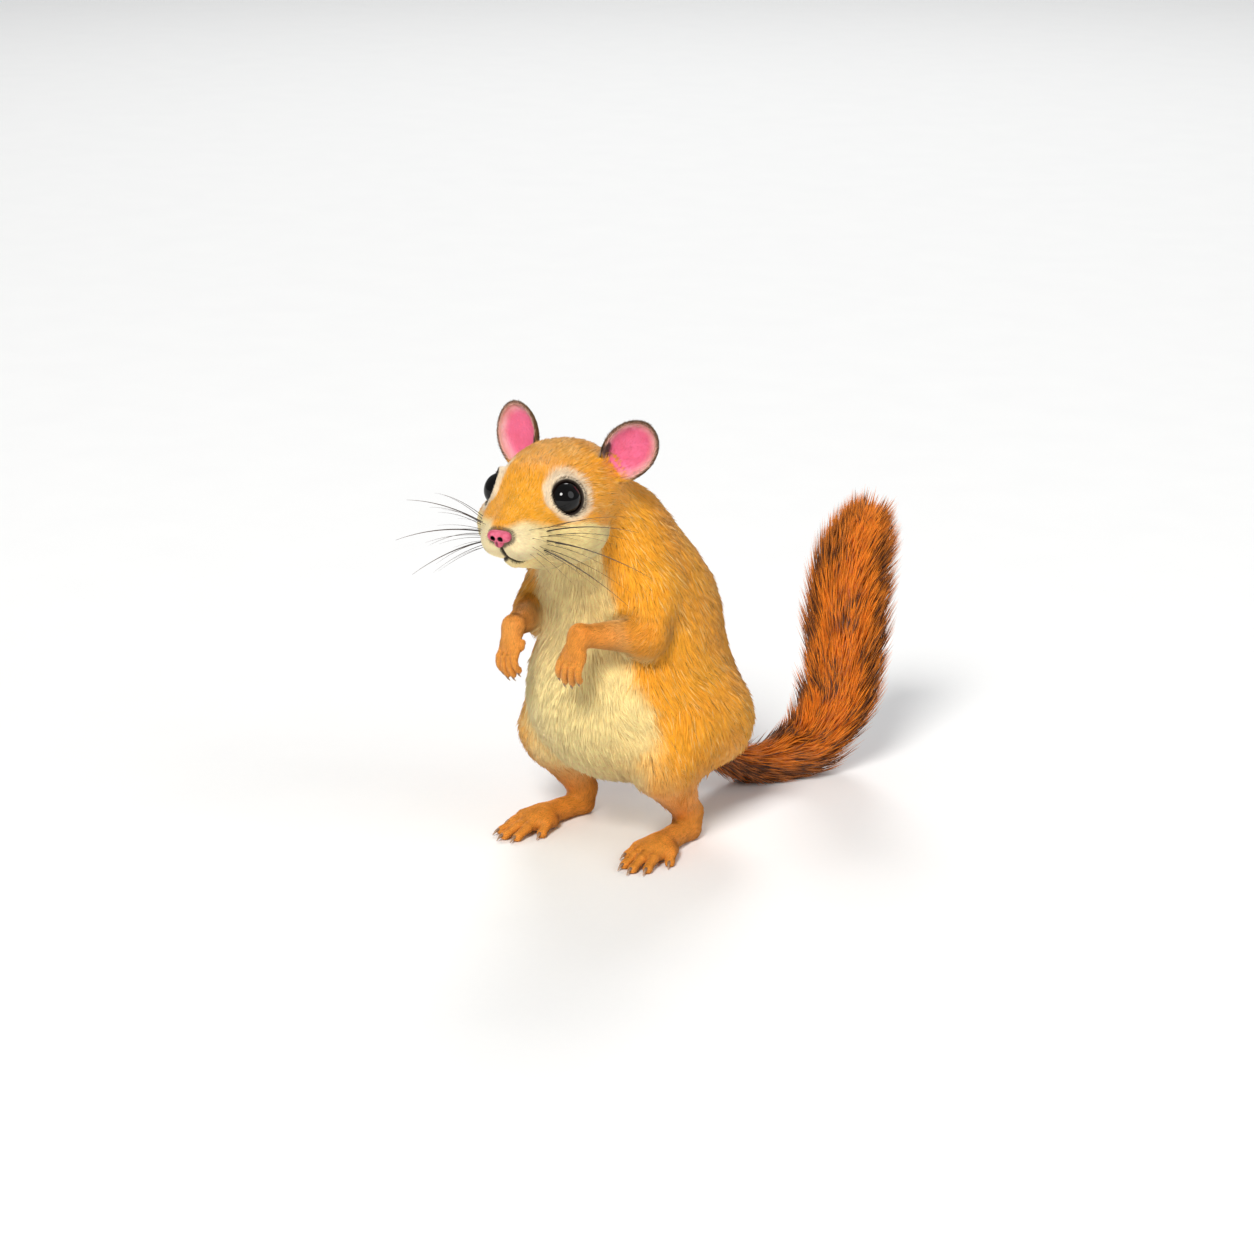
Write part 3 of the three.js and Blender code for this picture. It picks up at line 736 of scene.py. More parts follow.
class NodeMaker:
    """Adds and links shader nodes in few words."""

    def __init__(self, tree: bpy.types.NodeTree) -> None:
        """Keeps the tree that the nodes go into."""
        self.tree = tree

    def add(self, kind: str, inputs: dict[str | int, object], **settings: object) -> bpy.types.Node:
        """Makes a node.

        Args:
            kind: The node's type, without its ShaderNode prefix.
            inputs: For each input, a value, or the socket that feeds it.
            settings: The node's own settings.

        Returns:
            The new node.
        """
        node = self.tree.nodes.new("ShaderNode" + kind)
        for key, value in settings.items():
            setattr(node, key, value)
        for key, value in inputs.items():
            if isinstance(value, bpy.types.NodeSocket):
                self.tree.links.new(value, node.inputs[key])
            else:
                node.inputs[key].default_value = value
        return node

    def number(self, name: str) -> bpy.types.NodeSocket:
        """A number that the mesh carries."""
        return self.add("Attribute", {}, attribute_name=name).outputs["Fac"]

    def coat(self) -> bpy.types.NodeSocket:
        """The coat's colour, which the mesh carries."""
        return self.add("Attribute", {}, attribute_name="coat").outputs["Color"]

    def noise(self, scale: float, detail: float = 2.0) -> bpy.types.NodeSocket:
        """Noise through space, with its features about one over scale across.

        Args:
            scale: How fine it is.
            detail: How many finer waves it has.

        Returns:
            A number from 0 to 1.
        """
        where = self.add("TexCoord", {}).outputs["Object"]
        made = self.add("TexNoise", {"Vector": where, "Scale": scale, "Detail": detail})
        return made.outputs["Fac"]

    def spread(self, value: bpy.types.NodeSocket, low: float, high: float,
               start: float = 0.0, end: float = 1.0) -> bpy.types.NodeSocket:
        """A number between start and end, moved to lie between low and high."""
        inputs = {"Value": value, "From Min": start, "From Max": end, "To Min": low, "To Max": high}
        return self.add("MapRange", inputs).outputs["Result"]

    def times(self, colour: bpy.types.NodeSocket, by: bpy.types.NodeSocket) -> bpy.types.NodeSocket:
        """A colour made darker or lighter by a number."""
        scaled = self.add("VectorMath", {0: colour, "Scale": by}, operation="SCALE")
        return scaled.outputs["Vector"]

    def mixed(self, first: object, second: object, share: object) -> bpy.types.NodeSocket:
        """From the first colour to the second by a share."""
        mixer = self.add("Mix", {0: share, 6: first, 7: second}, data_type="RGBA")
        return mixer.outputs[2]

    def bump(self, height: bpy.types.NodeSocket, depth: float,
             strength: float = 1.0) -> bpy.types.NodeSocket:
        """Small relief, of a depth in metres."""
        inputs = {"Height": height, "Distance": depth, "Strength": strength}
        return self.add("Bump", inputs).outputs["Normal"]

    def surface(self, colour: object, roughness: object, **inputs: object) -> None:
        """The shader itself, joined to the output.

        Args:
            colour, roughness: Values, or the sockets that feed them.
            inputs: The shader's other inputs, with _ for a space.
        """
        named = {key.replace("_", " "): value for key, value in inputs.items()}
        shader = self.add(
            "BsdfPrincipled", {"Base Color": colour, "Roughness": roughness, **named}
        )
        self.add("OutputMaterial", {"Surface": shader.outputs["BSDF"]})


@dataclass(frozen=True)
class FurFinish(Finish):
    """Tufts: the markings' colour, darkened and warmed at the roots as painted shade deep in the
    coat, and light at the tips.
    """

    name: str = "fur"
    # root: painted shade, the tint that darkens each tuft's base where the coat is deep
    root: Point = (0.8, 0.66, 0.54)
    tip: Point = (1.16, 1.15, 1.12)
    roughness: float = 0.52

    def dress(self, make: NodeMaker) -> None:
        """Varies the coat's colour along each tuft, with painted shade at its root, and from one to
        the next.

        Args:
            make: Makes and links the nodes.
        """
        # from the root's painted shade to the lighter tip
        along = make.mixed((*self.root, 1), (*self.tip, 1), make.number("along"))
        shade = make.spread(make.number("shade"), 0.86, 1.12)
        patch = make.spread(make.noise(420), 0.93, 1.07, 0.35, 0.65)
        tinted = make.add("VectorMath", {0: make.coat(), 1: along}, operation="MULTIPLY")
        colour = make.times(make.times(tinted.outputs["Vector"], shade), patch)
        make.surface(
            colour,
            make.spread(make.noise(1500), self.roughness - 0.08, self.roughness + 0.1),
            Specular_IOR_Level=0.28,
            Sheen_Weight=0.12,
            Sheen_Roughness=0.5,
        )


@dataclass(frozen=True)
class HideFinish(Finish):
    """The skin under the coat, short-haired, with the same markings darkened as painted shade."""

    name: str = "hide"

    def dress(self, make: NodeMaker) -> None:
        """Darkens the coat's colour in patches as painted shade under the tufts, and roughens it as
        short hair does.

        Args:
            make: Makes and links the nodes.
        """
        # painted shade: the colour under the tufts darkened to 0.66 to 0.92 of itself, in random
        # patches
        patch = make.spread(make.noise(900), 0.66, 0.92, 0.3, 0.7)
        colour = make.times(make.coat(), patch)
        fine = make.bump(make.noise(5200, 3), 0.00012)
        make.surface(colour, 0.7, Specular_IOR_Level=0.2, Normal=fine)


@dataclass(frozen=True)
class BareFinish(Finish):
    """Thin bare skin with blood under it, in the ears and on the soles."""

    name: str = "bare_skin"

    def dress(self, make: NodeMaker) -> None:
        """Mottles the colour, and adds fine wrinkles and light that passes under the skin.

        Args:
            make: Makes and links the nodes.
        """
        blush = make.spread(make.noise(260, 4), 0.0, 0.5, 0.35, 0.75)
        colour = make.mixed(make.coat(), paint(214, 76, 92), blush)
        veins = make.bump(make.noise(1900, 4), 0.0001, 0.6)
        make.surface(
            colour,
            0.48,
            Specular_IOR_Level=0.4,
            Subsurface_Weight=0.35,
            Subsurface_Radius=(0.9, 0.35, 0.25),
            Subsurface_Scale=0.001,
            Normal=veins,
        )


@dataclass(frozen=True)
class NoseFinish(Finish):
    """Moist, finely pebbled skin."""

    name: str = "wet_nose"

    def dress(self, make: NodeMaker) -> None:
        """Lays a wet coat over pebbled pink skin, with painted shade near black in the nostrils and
        the groove.

        Args:
            make: Makes and links the nodes.
        """
        pink = make.mixed(
            paint(230, 112, 140),
            paint(190, 66, 92),
            make.spread(make.noise(1100, 4), 0, 1, 0.32, 0.68),
        )
        # hollow: painted shade, near black, in the nostrils and the groove down the pad
        colour = make.mixed(pink, paint(26, 8, 8), make.number("hollow"))
        pebble = make.add(
            "TexVoronoi", {"Vector": make.add("TexCoord", {}).outputs["Object"], "Scale": 4200.0}
        )
        make.surface(
            colour,
            0.5,
            Specular_IOR_Level=0.3,
            Subsurface_Weight=0.08,
            Subsurface_Radius=(0.8, 0.3, 0.2),
            Subsurface_Scale=0.001,
            Coat_Weight=0.12,
            Coat_Roughness=0.25,
            Normal=make.bump(pebble.outputs["Distance"], 0.00012, 0.9),
        )


@dataclass(frozen=True)
class EyeFinish(Finish):
    """A wet, almost black eye with a dark brown iris."""

    name: str = "wet_eye"

    def dress(self, make: NodeMaker) -> None:
        """Colours the iris and the pupil by how far they lie from the way the eye looks.

        Args:
            make: Makes and links the nodes.
        """
        ring = make.spread(make.number("outward"), 0, 1, 0.5, 0.66)
        streaks = make.spread(make.noise(2600, 3), 0.4, 1.0, 0.3, 0.7)
        iris = make.times(make.mixed(paint(36, 20, 13), paint(16, 9, 7), 0.3), streaks)
        colour = make.mixed(iris, paint(6, 5, 5), ring)
        make.surface(colour, 0.3, Specular_IOR_Level=0.0, Coat_Weight=0.6, Coat_Roughness=0.02)


@dataclass(frozen=True)
class HornFinish(Finish):
    """Claws: translucent brown horn, pale at the tips."""

    name: str = "horn"

    def dress(self, make: NodeMaker) -> None:
        """Goes from dark at the root to pale at the tip, with growth lines.

        Args:
            make: Makes and links the nodes.
        """
        along = make.number("along")
        colour = make.mixed(paint(66, 38, 28), paint(196, 158, 124), make.spread(along, 0, 0.85))
        colour = make.times(colour, make.spread(make.noise(2400, 3), 0.8, 1.15, 0.3, 0.7))
        make.surface(
            colour, 0.32, Specular_IOR_Level=0.5, Normal=make.bump(make.noise(3000), 0.00004)
        )


@dataclass(frozen=True)
class WhiskerFinish(Finish):
    """Stiff dark hairs with finer, lighter ends."""

    name: str = "whisker"

    def dress(self, make: NodeMaker) -> None:
        """Goes from black at the root to brown at the tip.

        Args:
            make: Makes and links the nodes.
        """
        colour = make.mixed(paint(22, 14, 11), paint(92, 62, 40), make.number("along"))
        shade = make.spread(make.noise(700), 0.75, 1.2, 0.3, 0.7)
        make.surface(make.times(colour, shade), 0.38, Specular_IOR_Level=0.5)


@dataclass(frozen=True)
class FloorFinish(Finish):
    """A plain pale floor."""

    name: str = "floor"

    def dress(self, make: NodeMaker) -> None:
        """Near white, with almost no gloss.

        Args:
            make: Makes and links the nodes.
        """
        colour = make.times(
            make.mixed((0.93, 0.93, 0.92, 1), (0.9, 0.9, 0.895, 1), make.noise(40)),
            make.spread(make.noise(700), 0.99, 1.01),
        )
        make.surface(colour, 0.75, Specular_IOR_Level=0.15)


@dataclass
class Trunk:
    """Rump, belly, ribs, chest and neck."""

    rump: Oval = Oval((0, 7.5, 35), (23, 22, 21))
    belly: Oval = Oval((0, -3, 37), (23, 22.5, 22))
    ribs: Oval = Oval((0, 1.5, 54), (22, 22.5, 23))
    chest: Oval = Oval((0, -6, 69), (18, 18, 18))
    neck: Bar = Bar((0, -9, 79), (-0.4, -19, 90), 12.8, 11)
    axis: tuple[Point, Point] = ((0, 2, 27), (0, -17, 84))
    depth: float = 1.7
    neck_depth: float = 1.5

    def lie(self, p: Array) -> Array:
        """Down the body, and back along its underside.

        Args:
            p: Points, one a row.

        Returns:
            A direction for each.
        """
        back = 0.32 + 1.3 * smoothstep(-p[:, 2], -30, -16)
        aside = 0.22 * np.tanh(p[:, 0] / 5) * smoothstep(-p[:, 1], 4, 16)
        return np.stack([aside, back, -np.ones(len(p))], 1)

    def regions(self) -> list[Region]:
        """The trunk's two parts of the flesh.

        Returns:
            The regions, with how their coat lies.
        """
        axis = tuple(np.array(end, float) for end in self.axis)
        body = Blend(8, [self.rump, self.belly, self.ribs, self.chest])
        nape = np.array(self.neck.end)
        return [
            Region("trunk", body, self.lie, Hair(nape, 3.4, 5.4, 34, layers=14), axis,
                   depth=self.depth, join=6, piece="body"),
            Region("neck", self.neck, self.lie, Hair(nape, 3.0, 4.2, 16, layers=13), axis,
                   depth=self.neck_depth, join=8, piece="body"),
        ]

    def fronted(self, p: Array) -> Array:
        """The angle of each point round the body from its front, in degrees.

        Args:
            p: Points, one a row.

        Returns:
            An angle for each, 0 in front and 180 behind.
        """
        (_, y0, z0), (_, y1, z1) = self.axis
        middle = y0 + (y1 - y0) * (p[:, 2] - z0) / (z1 - z0)
        return np.degrees(np.arctan2(np.abs(p[:, 0]), middle - p[:, 1]))


@dataclass
class Head:
    """Skull, cheeks, muzzle, lids and lips, with the nose and both eyes."""

    centre: Point = (-0.7, -26, 89.5)
    scale: float = 1.05
    turn: float = 11
    nod: float = 3
    depth: float = 0.75
    eye_radius: float = 4.1
    eye_place: Point = (7.3, -10.4, 3.0)
    eye_look: Point = (0.8, -0.5, 0.33)
    cornea: float = 0.035
    socket_gap: float = 0.06
    nose_voxel: float = 0.1
    lid_forward: float = 1.8
    lid_radius: float = 3.92
    lid_tube: float = 0.56
    nose_tip: Point = (0, -25.4, -3.6)
    middle: tuple[Form, ...] = (
        Oval((0, 1.5, 1.2), (13.2, 14, 11.8)),
        Oval((0, -7, 3), (10.2, 10, 8.8)),
        Bar((0, -11, 2.4), (0, -21.2, -2.8), 7.2, 4.1),
        Bar((0, -6, -7.6), (0, -17.6, -8.9), 7.4, 3.2),
    )
    sided: tuple[Oval, ...] = (
        Oval((8.2, -5.6, -4.6), (6.7, 9.2, 7.4)),
        Oval((5, -13, -3.4), (5, 8, 6.2)),
        Oval((2.9, -19.6, -5.2), (4.2, 5, 4.3)),
    )
    nose_middle: tuple[Form, ...] = (
        Oval((0, -24.9, -3.1), (2.3, 1.5, 1.1)),
        Oval((0, -24.8, -4.5), (1.0, 1.25, 1.3)),
    )
    nose_wing: Oval = Oval((1.65, -24.8, -3.35), (1.0, 1.25, 1.0))
    nostril: tuple[Point, ...] = (
        (0.75, -27.2, -3.75), (0.95, -26.0, -3.62), (1.35, -25.2, -3.35), (2.0, -24.9, -2.95),
    )
    nose_groove: tuple[Point, ...] = ((0, -27.2, -3.0), (0, -26.4, -4.6), (0, -25.6, -6.4))
    nostril_radii: tuple[float, float] = (0.5, 0.26)
    groove_radii: tuple[float, float] = (0.34, 0.26)
    cleft_radii: tuple[float, float] = (0.26, 0.24)
    lip_radii: tuple[float, float] = (0.34, 0.3)
    cleft: tuple[Point, ...] = ((0, -23.6, -9.4), (0, -24.6, -7.6), (0.01, -25, -5.8))
    lips: tuple[Point, ...] = (
        (0.1, -23.6, -9.2), (2.0, -22.4, -10.6), (4.4, -19.6, -10.2), (6.3, -15.4, -8.2),
    )
    place: Placement = field(init=False)

    def __post_init__(self) -> None:
        """Works out the head's own axes."""
        axes = turned(2, self.turn) @ turned(0, -self.nod)
        self.place = Placement(np.array(self.centre), axes, self.scale)

    def skull(self) -> Blend:
        """The head's form in its own axes."""
        return Blend(2.6, [*self.middle, *(o.on(side) for side in Side for o in self.sided)])

    def look(self, side: Side) -> Array:
        """The way an eye looks, in the head's axes."""
        return unit(np.array(side.mirror(self.eye_look)))

    def eye_centre(self, side: Side) -> Array:
        """An eye's centre in the animal's frame."""
        return self.place.out(side.mirror(self.eye_place))

    def lie(self, p: Array) -> Array:
        """Back from the tip of the nose, parting round the eyes.

        Args:
            p: Points, one a row.

        Returns:
            A direction for each.
        """
        away = p - self.place.out(self.nose_tip)
        way = unit(away)
        for side in Side:
            off = p - self.eye_centre(side)
            close = np.exp(-((np.linalg.norm(off, axis=1) - self.eye_radius) / 2.2))
            way = way + 0.7 * unit(off) * np.clip(close, 0, 1)[:, None]
        return way

    def regions(self) -> list[Region]:
        """The head's flesh: the skull and the rims of both lids.

        Returns:
            The regions, with how their coat lies.
        """
        hair = Hair(self.place.out(self.nose_tip), 0.75, 3.5, 31, lift=13, layers=8)
        axis = (self.place.out((0, -26, -3)), self.place.out((0, 12, 2)))
        made = [Region("skull", self.skull(), self.lie, hair, axis, self.place,
                       depth=self.depth, join=5, piece="head")]
        lid_hair = Hair(self.place.out((0, 0, 0)), 0.6, 0.6, 1, lift=8, layers=2)
        for side in Side:
            ring = LidRing(
                np.array(side.mirror(self.eye_place)) + self.look(side) * self.lid_forward,
                self.look(side), self.lid_radius, self.lid_tube,
            )
            made.append(Region(f"lid_{side.word}", ring, self.lie, lid_hair, axis, self.place,
                               join=1.1, piece="head"))
        return made

    def sockets(self) -> list[Cut]:
        """The hollows that the eyeballs sit in."""
        radii = (self.eye_radius - self.socket_gap,) * 3
        return [Cut(Oval(side.mirror(self.eye_place), radii), self.place, 0.25) for side in Side]

    def mouth(self, flesh: Flesh) -> list[Cut]:
        """The cleft below the nose, and the line of the mouth out to both corners.

        Args:
            flesh: What the lines are pressed into.

        Returns:
            The cuts that make them.
        """
        core = self.place.out((0, -15, -7))
        lines = [(self.cleft, *self.cleft_radii)]
        lines += [([side.mirror(p) for p in self.lips], *self.lip_radii) for side in Side]
        made = []
        for points, first, last in lines:
            world = self.place.out(np.array(points))
            on_skin = flesh.cast(core, world - core)
            made.append(Cut(chain(smooth_line(on_skin, 14), first, last), Placement(), 0.35))
        return made

    def pad(self) -> Region:
        """The flesh of the nose."""
        forms = Blend(0.9, [*self.nose_middle, *(self.nose_wing.on(side) for side in Side)])
        return Region("pad", forms, self.lie, NO_HAIR, (np.zeros(3), np.ones(3)), self.place)

    def nose(self, figure: Figure) -> bpy.types.Object:
        """The bare pad at the tip of the muzzle, with its two nostrils.

        Args:
            figure: Takes the points to the solids' frame.

        Returns:
            The new object.
        """
        cuts = []
        for side in Side:
            line = smooth_line([side.mirror(p) for p in self.nostril], 8)
            cuts.append(Cut(chain(line, *self.nostril_radii), self.place, 0.2))
        groove = chain(np.array(self.nose_groove), *self.groove_radii)
        cuts.append(Cut(groove, self.place, 0.35))
        sheet = meshed(Flesh([self.pad()], cuts), self.nose_voxel, 0.0)
        # hollow carries where shade is painted on the pad: in and at the edge of the nostrils and
        # the groove
        bores = np.min([c.form.distance(self.place.into(sheet.points)) for c in cuts], 0)
        sheet.numbers["hollow"] = smoothstep(-bores, -0.2, 0.0)
        made = sheet.build("nose_pad", figure, [NoseFinish()])
        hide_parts("nose")
        return made

    def eye(self, side: Side, figure: Figure) -> bpy.types.Object:
        """One eyeball, with the slight bulge of its cornea.

        Args:
            side: Which one.
            figure: Takes the points to the solids' frame.

        Returns:
            The new object.
        """
        sphere, caps, quads = ball(48, 32)
        bulge = 1 + self.cornea * smoothstep(sphere[:, 2], 0.55, 0.95)
        look = self.place.aim(self.look(side))
        across = unit(np.cross(look, (0, 0, 1)))
        over = np.cross(across, look)
        radius = self.eye_radius * self.scale - 0.03
        local = sphere * (radius * bulge)[:, None]
        world = self.eye_centre(side) + local @ np.stack([across, over, look])
        sheet = Sheet(world, caps, quads, {"outward": sphere[:, 2]})
        made = sheet.build(f"eyeball_{side.word}", figure, [EyeFinish()])
        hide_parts(f"eye_{side.word}")
        return made


@dataclass(frozen=True)
class LidRing:
    """The raised rim round an eye, a little longer than high and thicker above."""

    centre: Array
    look: Array
    radius: float
    tube: float

    def distance(self, p: Array) -> Array:
        """How far outside the rim each point lies.

        Args:
            p: Points, one a row.

        Returns:
            A distance for each, negative inside.
        """
        front = unit(np.cross(self.look, (0, 0, 1)))
        over = np.cross(front, self.look)
        away = p - self.centre
        out, x, z = away @ self.look, away @ front, away @ over
        round_ = np.sqrt((x / 1.04) ** 2 + z**2)
        tube = self.tube * (1 + 0.25 * z / self.radius)
        return np.sqrt((round_ - self.radius) ** 2 + out**2) - tube

    def limits(self) -> tuple[Array, Array]:
        """The rim's box."""
        reach = self.radius + 2 * self.tube
        return self.centre - reach, self.centre + reach


@dataclass
class Ear:
    """One ear: a thin cup, rooted on the head, and its hair."""

    side: Side
    head: Head
    length: float = 15
    width: float = 12
    bowl: float = 3.6
    wall: float = 0.62
    root: Point = (11.2, 5.4, 6.2)
    place: Placement = field(init=False)

    def __post_init__(self) -> None:
        """Works out the ear's own axes: across, behind and up along the ear."""
        if self.side is Side.LEFT:
            rise, facing = np.array((0.56, 0.2, 0.84)), np.array((0.48, -0.86, 0))
        else:
            rise, facing = np.array((-0.34, 0.22, 0.9)), np.array((-0.14, -0.86, 0))
        rise = unit(rise)
        facing = unit(facing - rise * (facing @ rise))
        axes = np.stack([np.cross(rise, facing), -facing, rise], 1)
        head = self.head.place
        self.place = Placement(head.out(self.side.mirror(self.root)), head.axes @ axes, head.scale)

    def half_width(self, up: Array) -> Array:
        """Half the cup's width at a share of the ear's height."""
        return (self.width / 2 - 0.25) * (0.82 + 0.46 * up - 0.3 * up * up)

    def shape(self, p: Array) -> tuple[Array, Array, Array]:
        """Where points lie on the ear.

        Args:
            p: Points in the ear's own axes.

        Returns:
            The share of the ear's height, how far out from the middle of the cup towards its
            rim, 1 on the rim, and the place of the cup's middle surface behind the rim.
        """
        up = np.clip((p[:, 2] + 1.5) / self.length, -0.3, 1.3)
        out = np.sqrt((p[:, 0] / self.half_width(up)) ** 2 + (2 * up - 1) ** 2)
        deep = self.bowl * (1.12 - 0.38 * up)
        return up, out, deep

    def distance(self, p: Array) -> Array:
        """How far outside the ear each point lies, in the ear's own axes.

        Args:
            p: Points, one a row.

        Returns:
            A distance for each, negative inside.
        """
        up, out, deep = self.shape(p)
        wide = self.half_width(up)
        scaled = np.stack([p[:, 0] / wide, (p[:, 1] + 0.4) / deep, 2 * up - 1], 1)
        near = np.linalg.norm(scaled, axis=1)
        radii = np.stack([wide, deep, np.full(len(p), self.length / 2)], 1)
        slope = np.linalg.norm(scaled / radii, axis=1)
        bowl = near * (near - 1) / np.maximum(slope, 1e-5)
        wall = self.wall * (0.55 + 0.75 * smoothstep(-up, -0.4, 0.1))
        fold = 0.5 * smoothstep(out, 0.84, 1.0)
        shell = np.abs(bowl + self.wall / 2) - (wall + fold) / 2
        rim = -(p[:, 1] + 0.35)
        return -smooth_min(-shell, -rim, 0.35)

    def limits(self) -> tuple[Array, Array]:
        """The ear's box in its own axes."""
        half = self.width / 2 + 0.8
        return np.array([-half, -1.5, -2.5]), np.array([half, self.bowl + 1.5, self.length])

    def lie(self, p: Array) -> Array:
        """Out from the root towards the rim."""
        return p - self.place.out((0, 1.5, -3))

    def regions(self) -> list[Region]:
        """The ear's flesh.

        Returns:
            The regions, with how their coat lies.
        """
        root = self.place.out((0, 0, 0))
        hair = Hair(root, 1.5, 0.8, 12, lift=9, layers=3.4)
        axis = (root, self.place.out((0, 0, self.length)))
        name = f"ear_{self.side.word}"
        return [Region(name, self, self.lie, hair, axis, self.place, join=1.5, piece=name)]

    def inner(self, p: Array) -> Array:
        """How surely each point lies on the hollow face of the ear, inside its rim.

        Args:
            p: Points, one a row.

        Returns:
            A share from 0 to 1 for each.
        """
        local = self.place.into(p)
        up, out, deep = self.shape(local)
        bowl = -0.4 + deep * np.sqrt(np.clip(1 - out**2, 0, 1))
        within = smoothstep(-out, -0.98, -0.86)
        facing = smoothstep(bowl - local[:, 1], 0.08, 0.42)
        near = smoothstep(local[:, 1] - bowl, -2.4, -1.4)
        return within * facing * near * smoothstep(local[:, 2], -0.5, 1.2)

    def tufted(self, p: Array) -> Array:
        """How surely each point lies under the dark hair at the foot of the ear's inner edge.

        Args:
            p: Points, one a row.

        Returns:
            A share from 0 to 1 for each.
        """
        foot = self.place.out((-3.7 * self.side.value, 0.6, 2.4))
        way = self.place.aim((-0.35 * self.side.value, 0, 1))
        away = p - foot
        along = away @ way
        off = np.linalg.norm(away - along[:, None] * way, axis=1)
        return smoothstep(-np.hypot(along / 1.5, off), -2.1, -1.2)


@dataclass(frozen=True)
class Digit:
    """The sizes that the fingers of a paw or the toes of a foot share.

    first and last are radii along the line. The tip's pad lies tip_off from the line's end,
    and the knuckle at one of its points.
    """

    first: float
    last: float
    tip_off: Point
    tip: Point
    knuckle_at: int
    knuckle: Point

    def forms(self, line: Array) -> list[Form]:
        """The flesh along one line.

        Args:
            line: Its points, from root to tip.

        Returns:
            The forms.
        """
        return [
            chain(line, self.first, self.last),
            Oval(line[-1] + self.tip_off, self.tip),
            Oval(line[self.knuckle_at], self.knuckle),
        ]


@dataclass
class Foreleg:
    """One foreleg: upper arm, forearm, and a hanging paw with four curled fingers."""

    side: Side
    upper: tuple[float, float] = (8.2, 5.8)
    lower: tuple[float, float] = (4.6, 2.7)
    fingers: tuple[float, ...] = (-2.25, -0.8, 0.75, 2.15)
    lengths: tuple[float, ...] = (4.0, 5.0, 4.9, 3.8)
    digit: Digit = Digit(0.8, 0.56, (0, -0.1, 0.25), (0.66, 0.66, 0.72), 2, (0.84, 0.84, 0.8))
    palm: tuple[Form, ...] = (
        Bar((0, 0, 0.4), (0, -0.6, -3.2), 2.5, 2.3),
        Oval((0, -0.4, -4.6), (3.1, 1.9, 2.4)),
    )
    place: Placement = field(init=False)

    def __post_init__(self) -> None:
        """Works out the joints' places and the paw's own axes."""
        sign = self.side.value
        self.shoulder = np.array(self.side.mirror((12.5, -9, 66)))
        self.elbow = np.array(self.side.mirror((16.6, -14, 57)))
        left = self.side is Side.LEFT
        self.wrist = np.array((10.8, -31.5, 60) if left else (-10.4, -30, 57.6))
        axes = turned(0, -14) @ turned(1, 6 * sign) @ turned(2, 8 * sign)
        self.place = Placement(self.wrist, axes)

    def finger(self, x: float, long: float) -> Array:
        """The line of a finger, in the paw's axes.

        Args:
            x: Where it is rooted across the paw.
            long: Its length.

        Returns:
            The line's points.
        """
        out = x * 0.22
        return np.array([
            (x, -0.5, -5.0), (x + out * 0.6, -1.4, -6.4 - long * 0.2),
            (x + out, -1.2, -6.4 - long * 0.62), (x + out, 0.2, -6.3 - long),
        ])

    def regions(self) -> list[Region]:
        """The foreleg's flesh.

        Returns:
            The regions, with how their coat lies.
        """
        word = self.side.word
        piece = f"arm_{word}"
        digits: list[Form] = []
        for x, long in zip(self.fingers, self.lengths):
            digits += self.digit.forms(smooth_line(self.finger(x, long), 7))
        thumb = 2.6 * -self.side.value
        digits.append(Bar((thumb, 0.6, -3.4), (thumb * 1.18, 0.3, -4.6), 0.7, 0.5))
        hang = steady(self.place.aim((0, 0, -1)))
        knuckles = self.place.out((0, 0, -8))
        paw_axis = (self.wrist, knuckles)
        return [
            Region(f"upper_arm_{word}", Bar(self.shoulder, self.elbow, *self.upper),
                   steady((0.0, 0.1, -1.0)), Hair(self.elbow, 2.8, 4.4, 14, layers=8),
                   (self.shoulder, self.elbow), depth=1.3, join=4, piece=piece),
            Region(f"forearm_{word}", Bar(self.elbow, self.wrist, *self.lower),
                   steady(self.wrist + (0, 0, -4) - self.elbow),
                   Hair(self.wrist, 1.3, 2.6, 18, lift=11, layers=5.5),
                   (self.elbow, self.wrist), depth=0.55, join=2.4, piece=piece),
            Region(f"palm_{word}", Blend(1.6, self.palm), hang,
                   Hair(knuckles, 0.75, 1.3, 8, lift=10, layers=3.4),
                   paw_axis, self.place, depth=0.25, join=1.6, piece=piece),
            Region(f"fingers_{word}", Blend(0.25, digits), hang,
                   Hair(self.place.out((0, 0, -11)), 0.5, 0.8, 5, lift=9, layers=2.4),
                   paw_axis, self.place, join=0.7, piece=piece),
        ]

    def claws(self) -> Array:
        """The lines of the claws, in the animal's frame.

        Returns:
            Points, claw by claw.
        """
        lines = []
        for x, long in zip(self.fingers, self.lengths):
            end = x * 1.22
            hook = [(end, -0.35, -5.9 - long), (end, 0.1, -7.0 - long), (end, 1.0, -7.75 - long)]
            lines.append(self.place.out(smooth_line(hook, 7)))
        return np.array(lines)


@dataclass(frozen=True)
class Toe:
    """A toe's root, its length, and how far it points outward."""

    x: float
    y: float
    long: float
    out: float


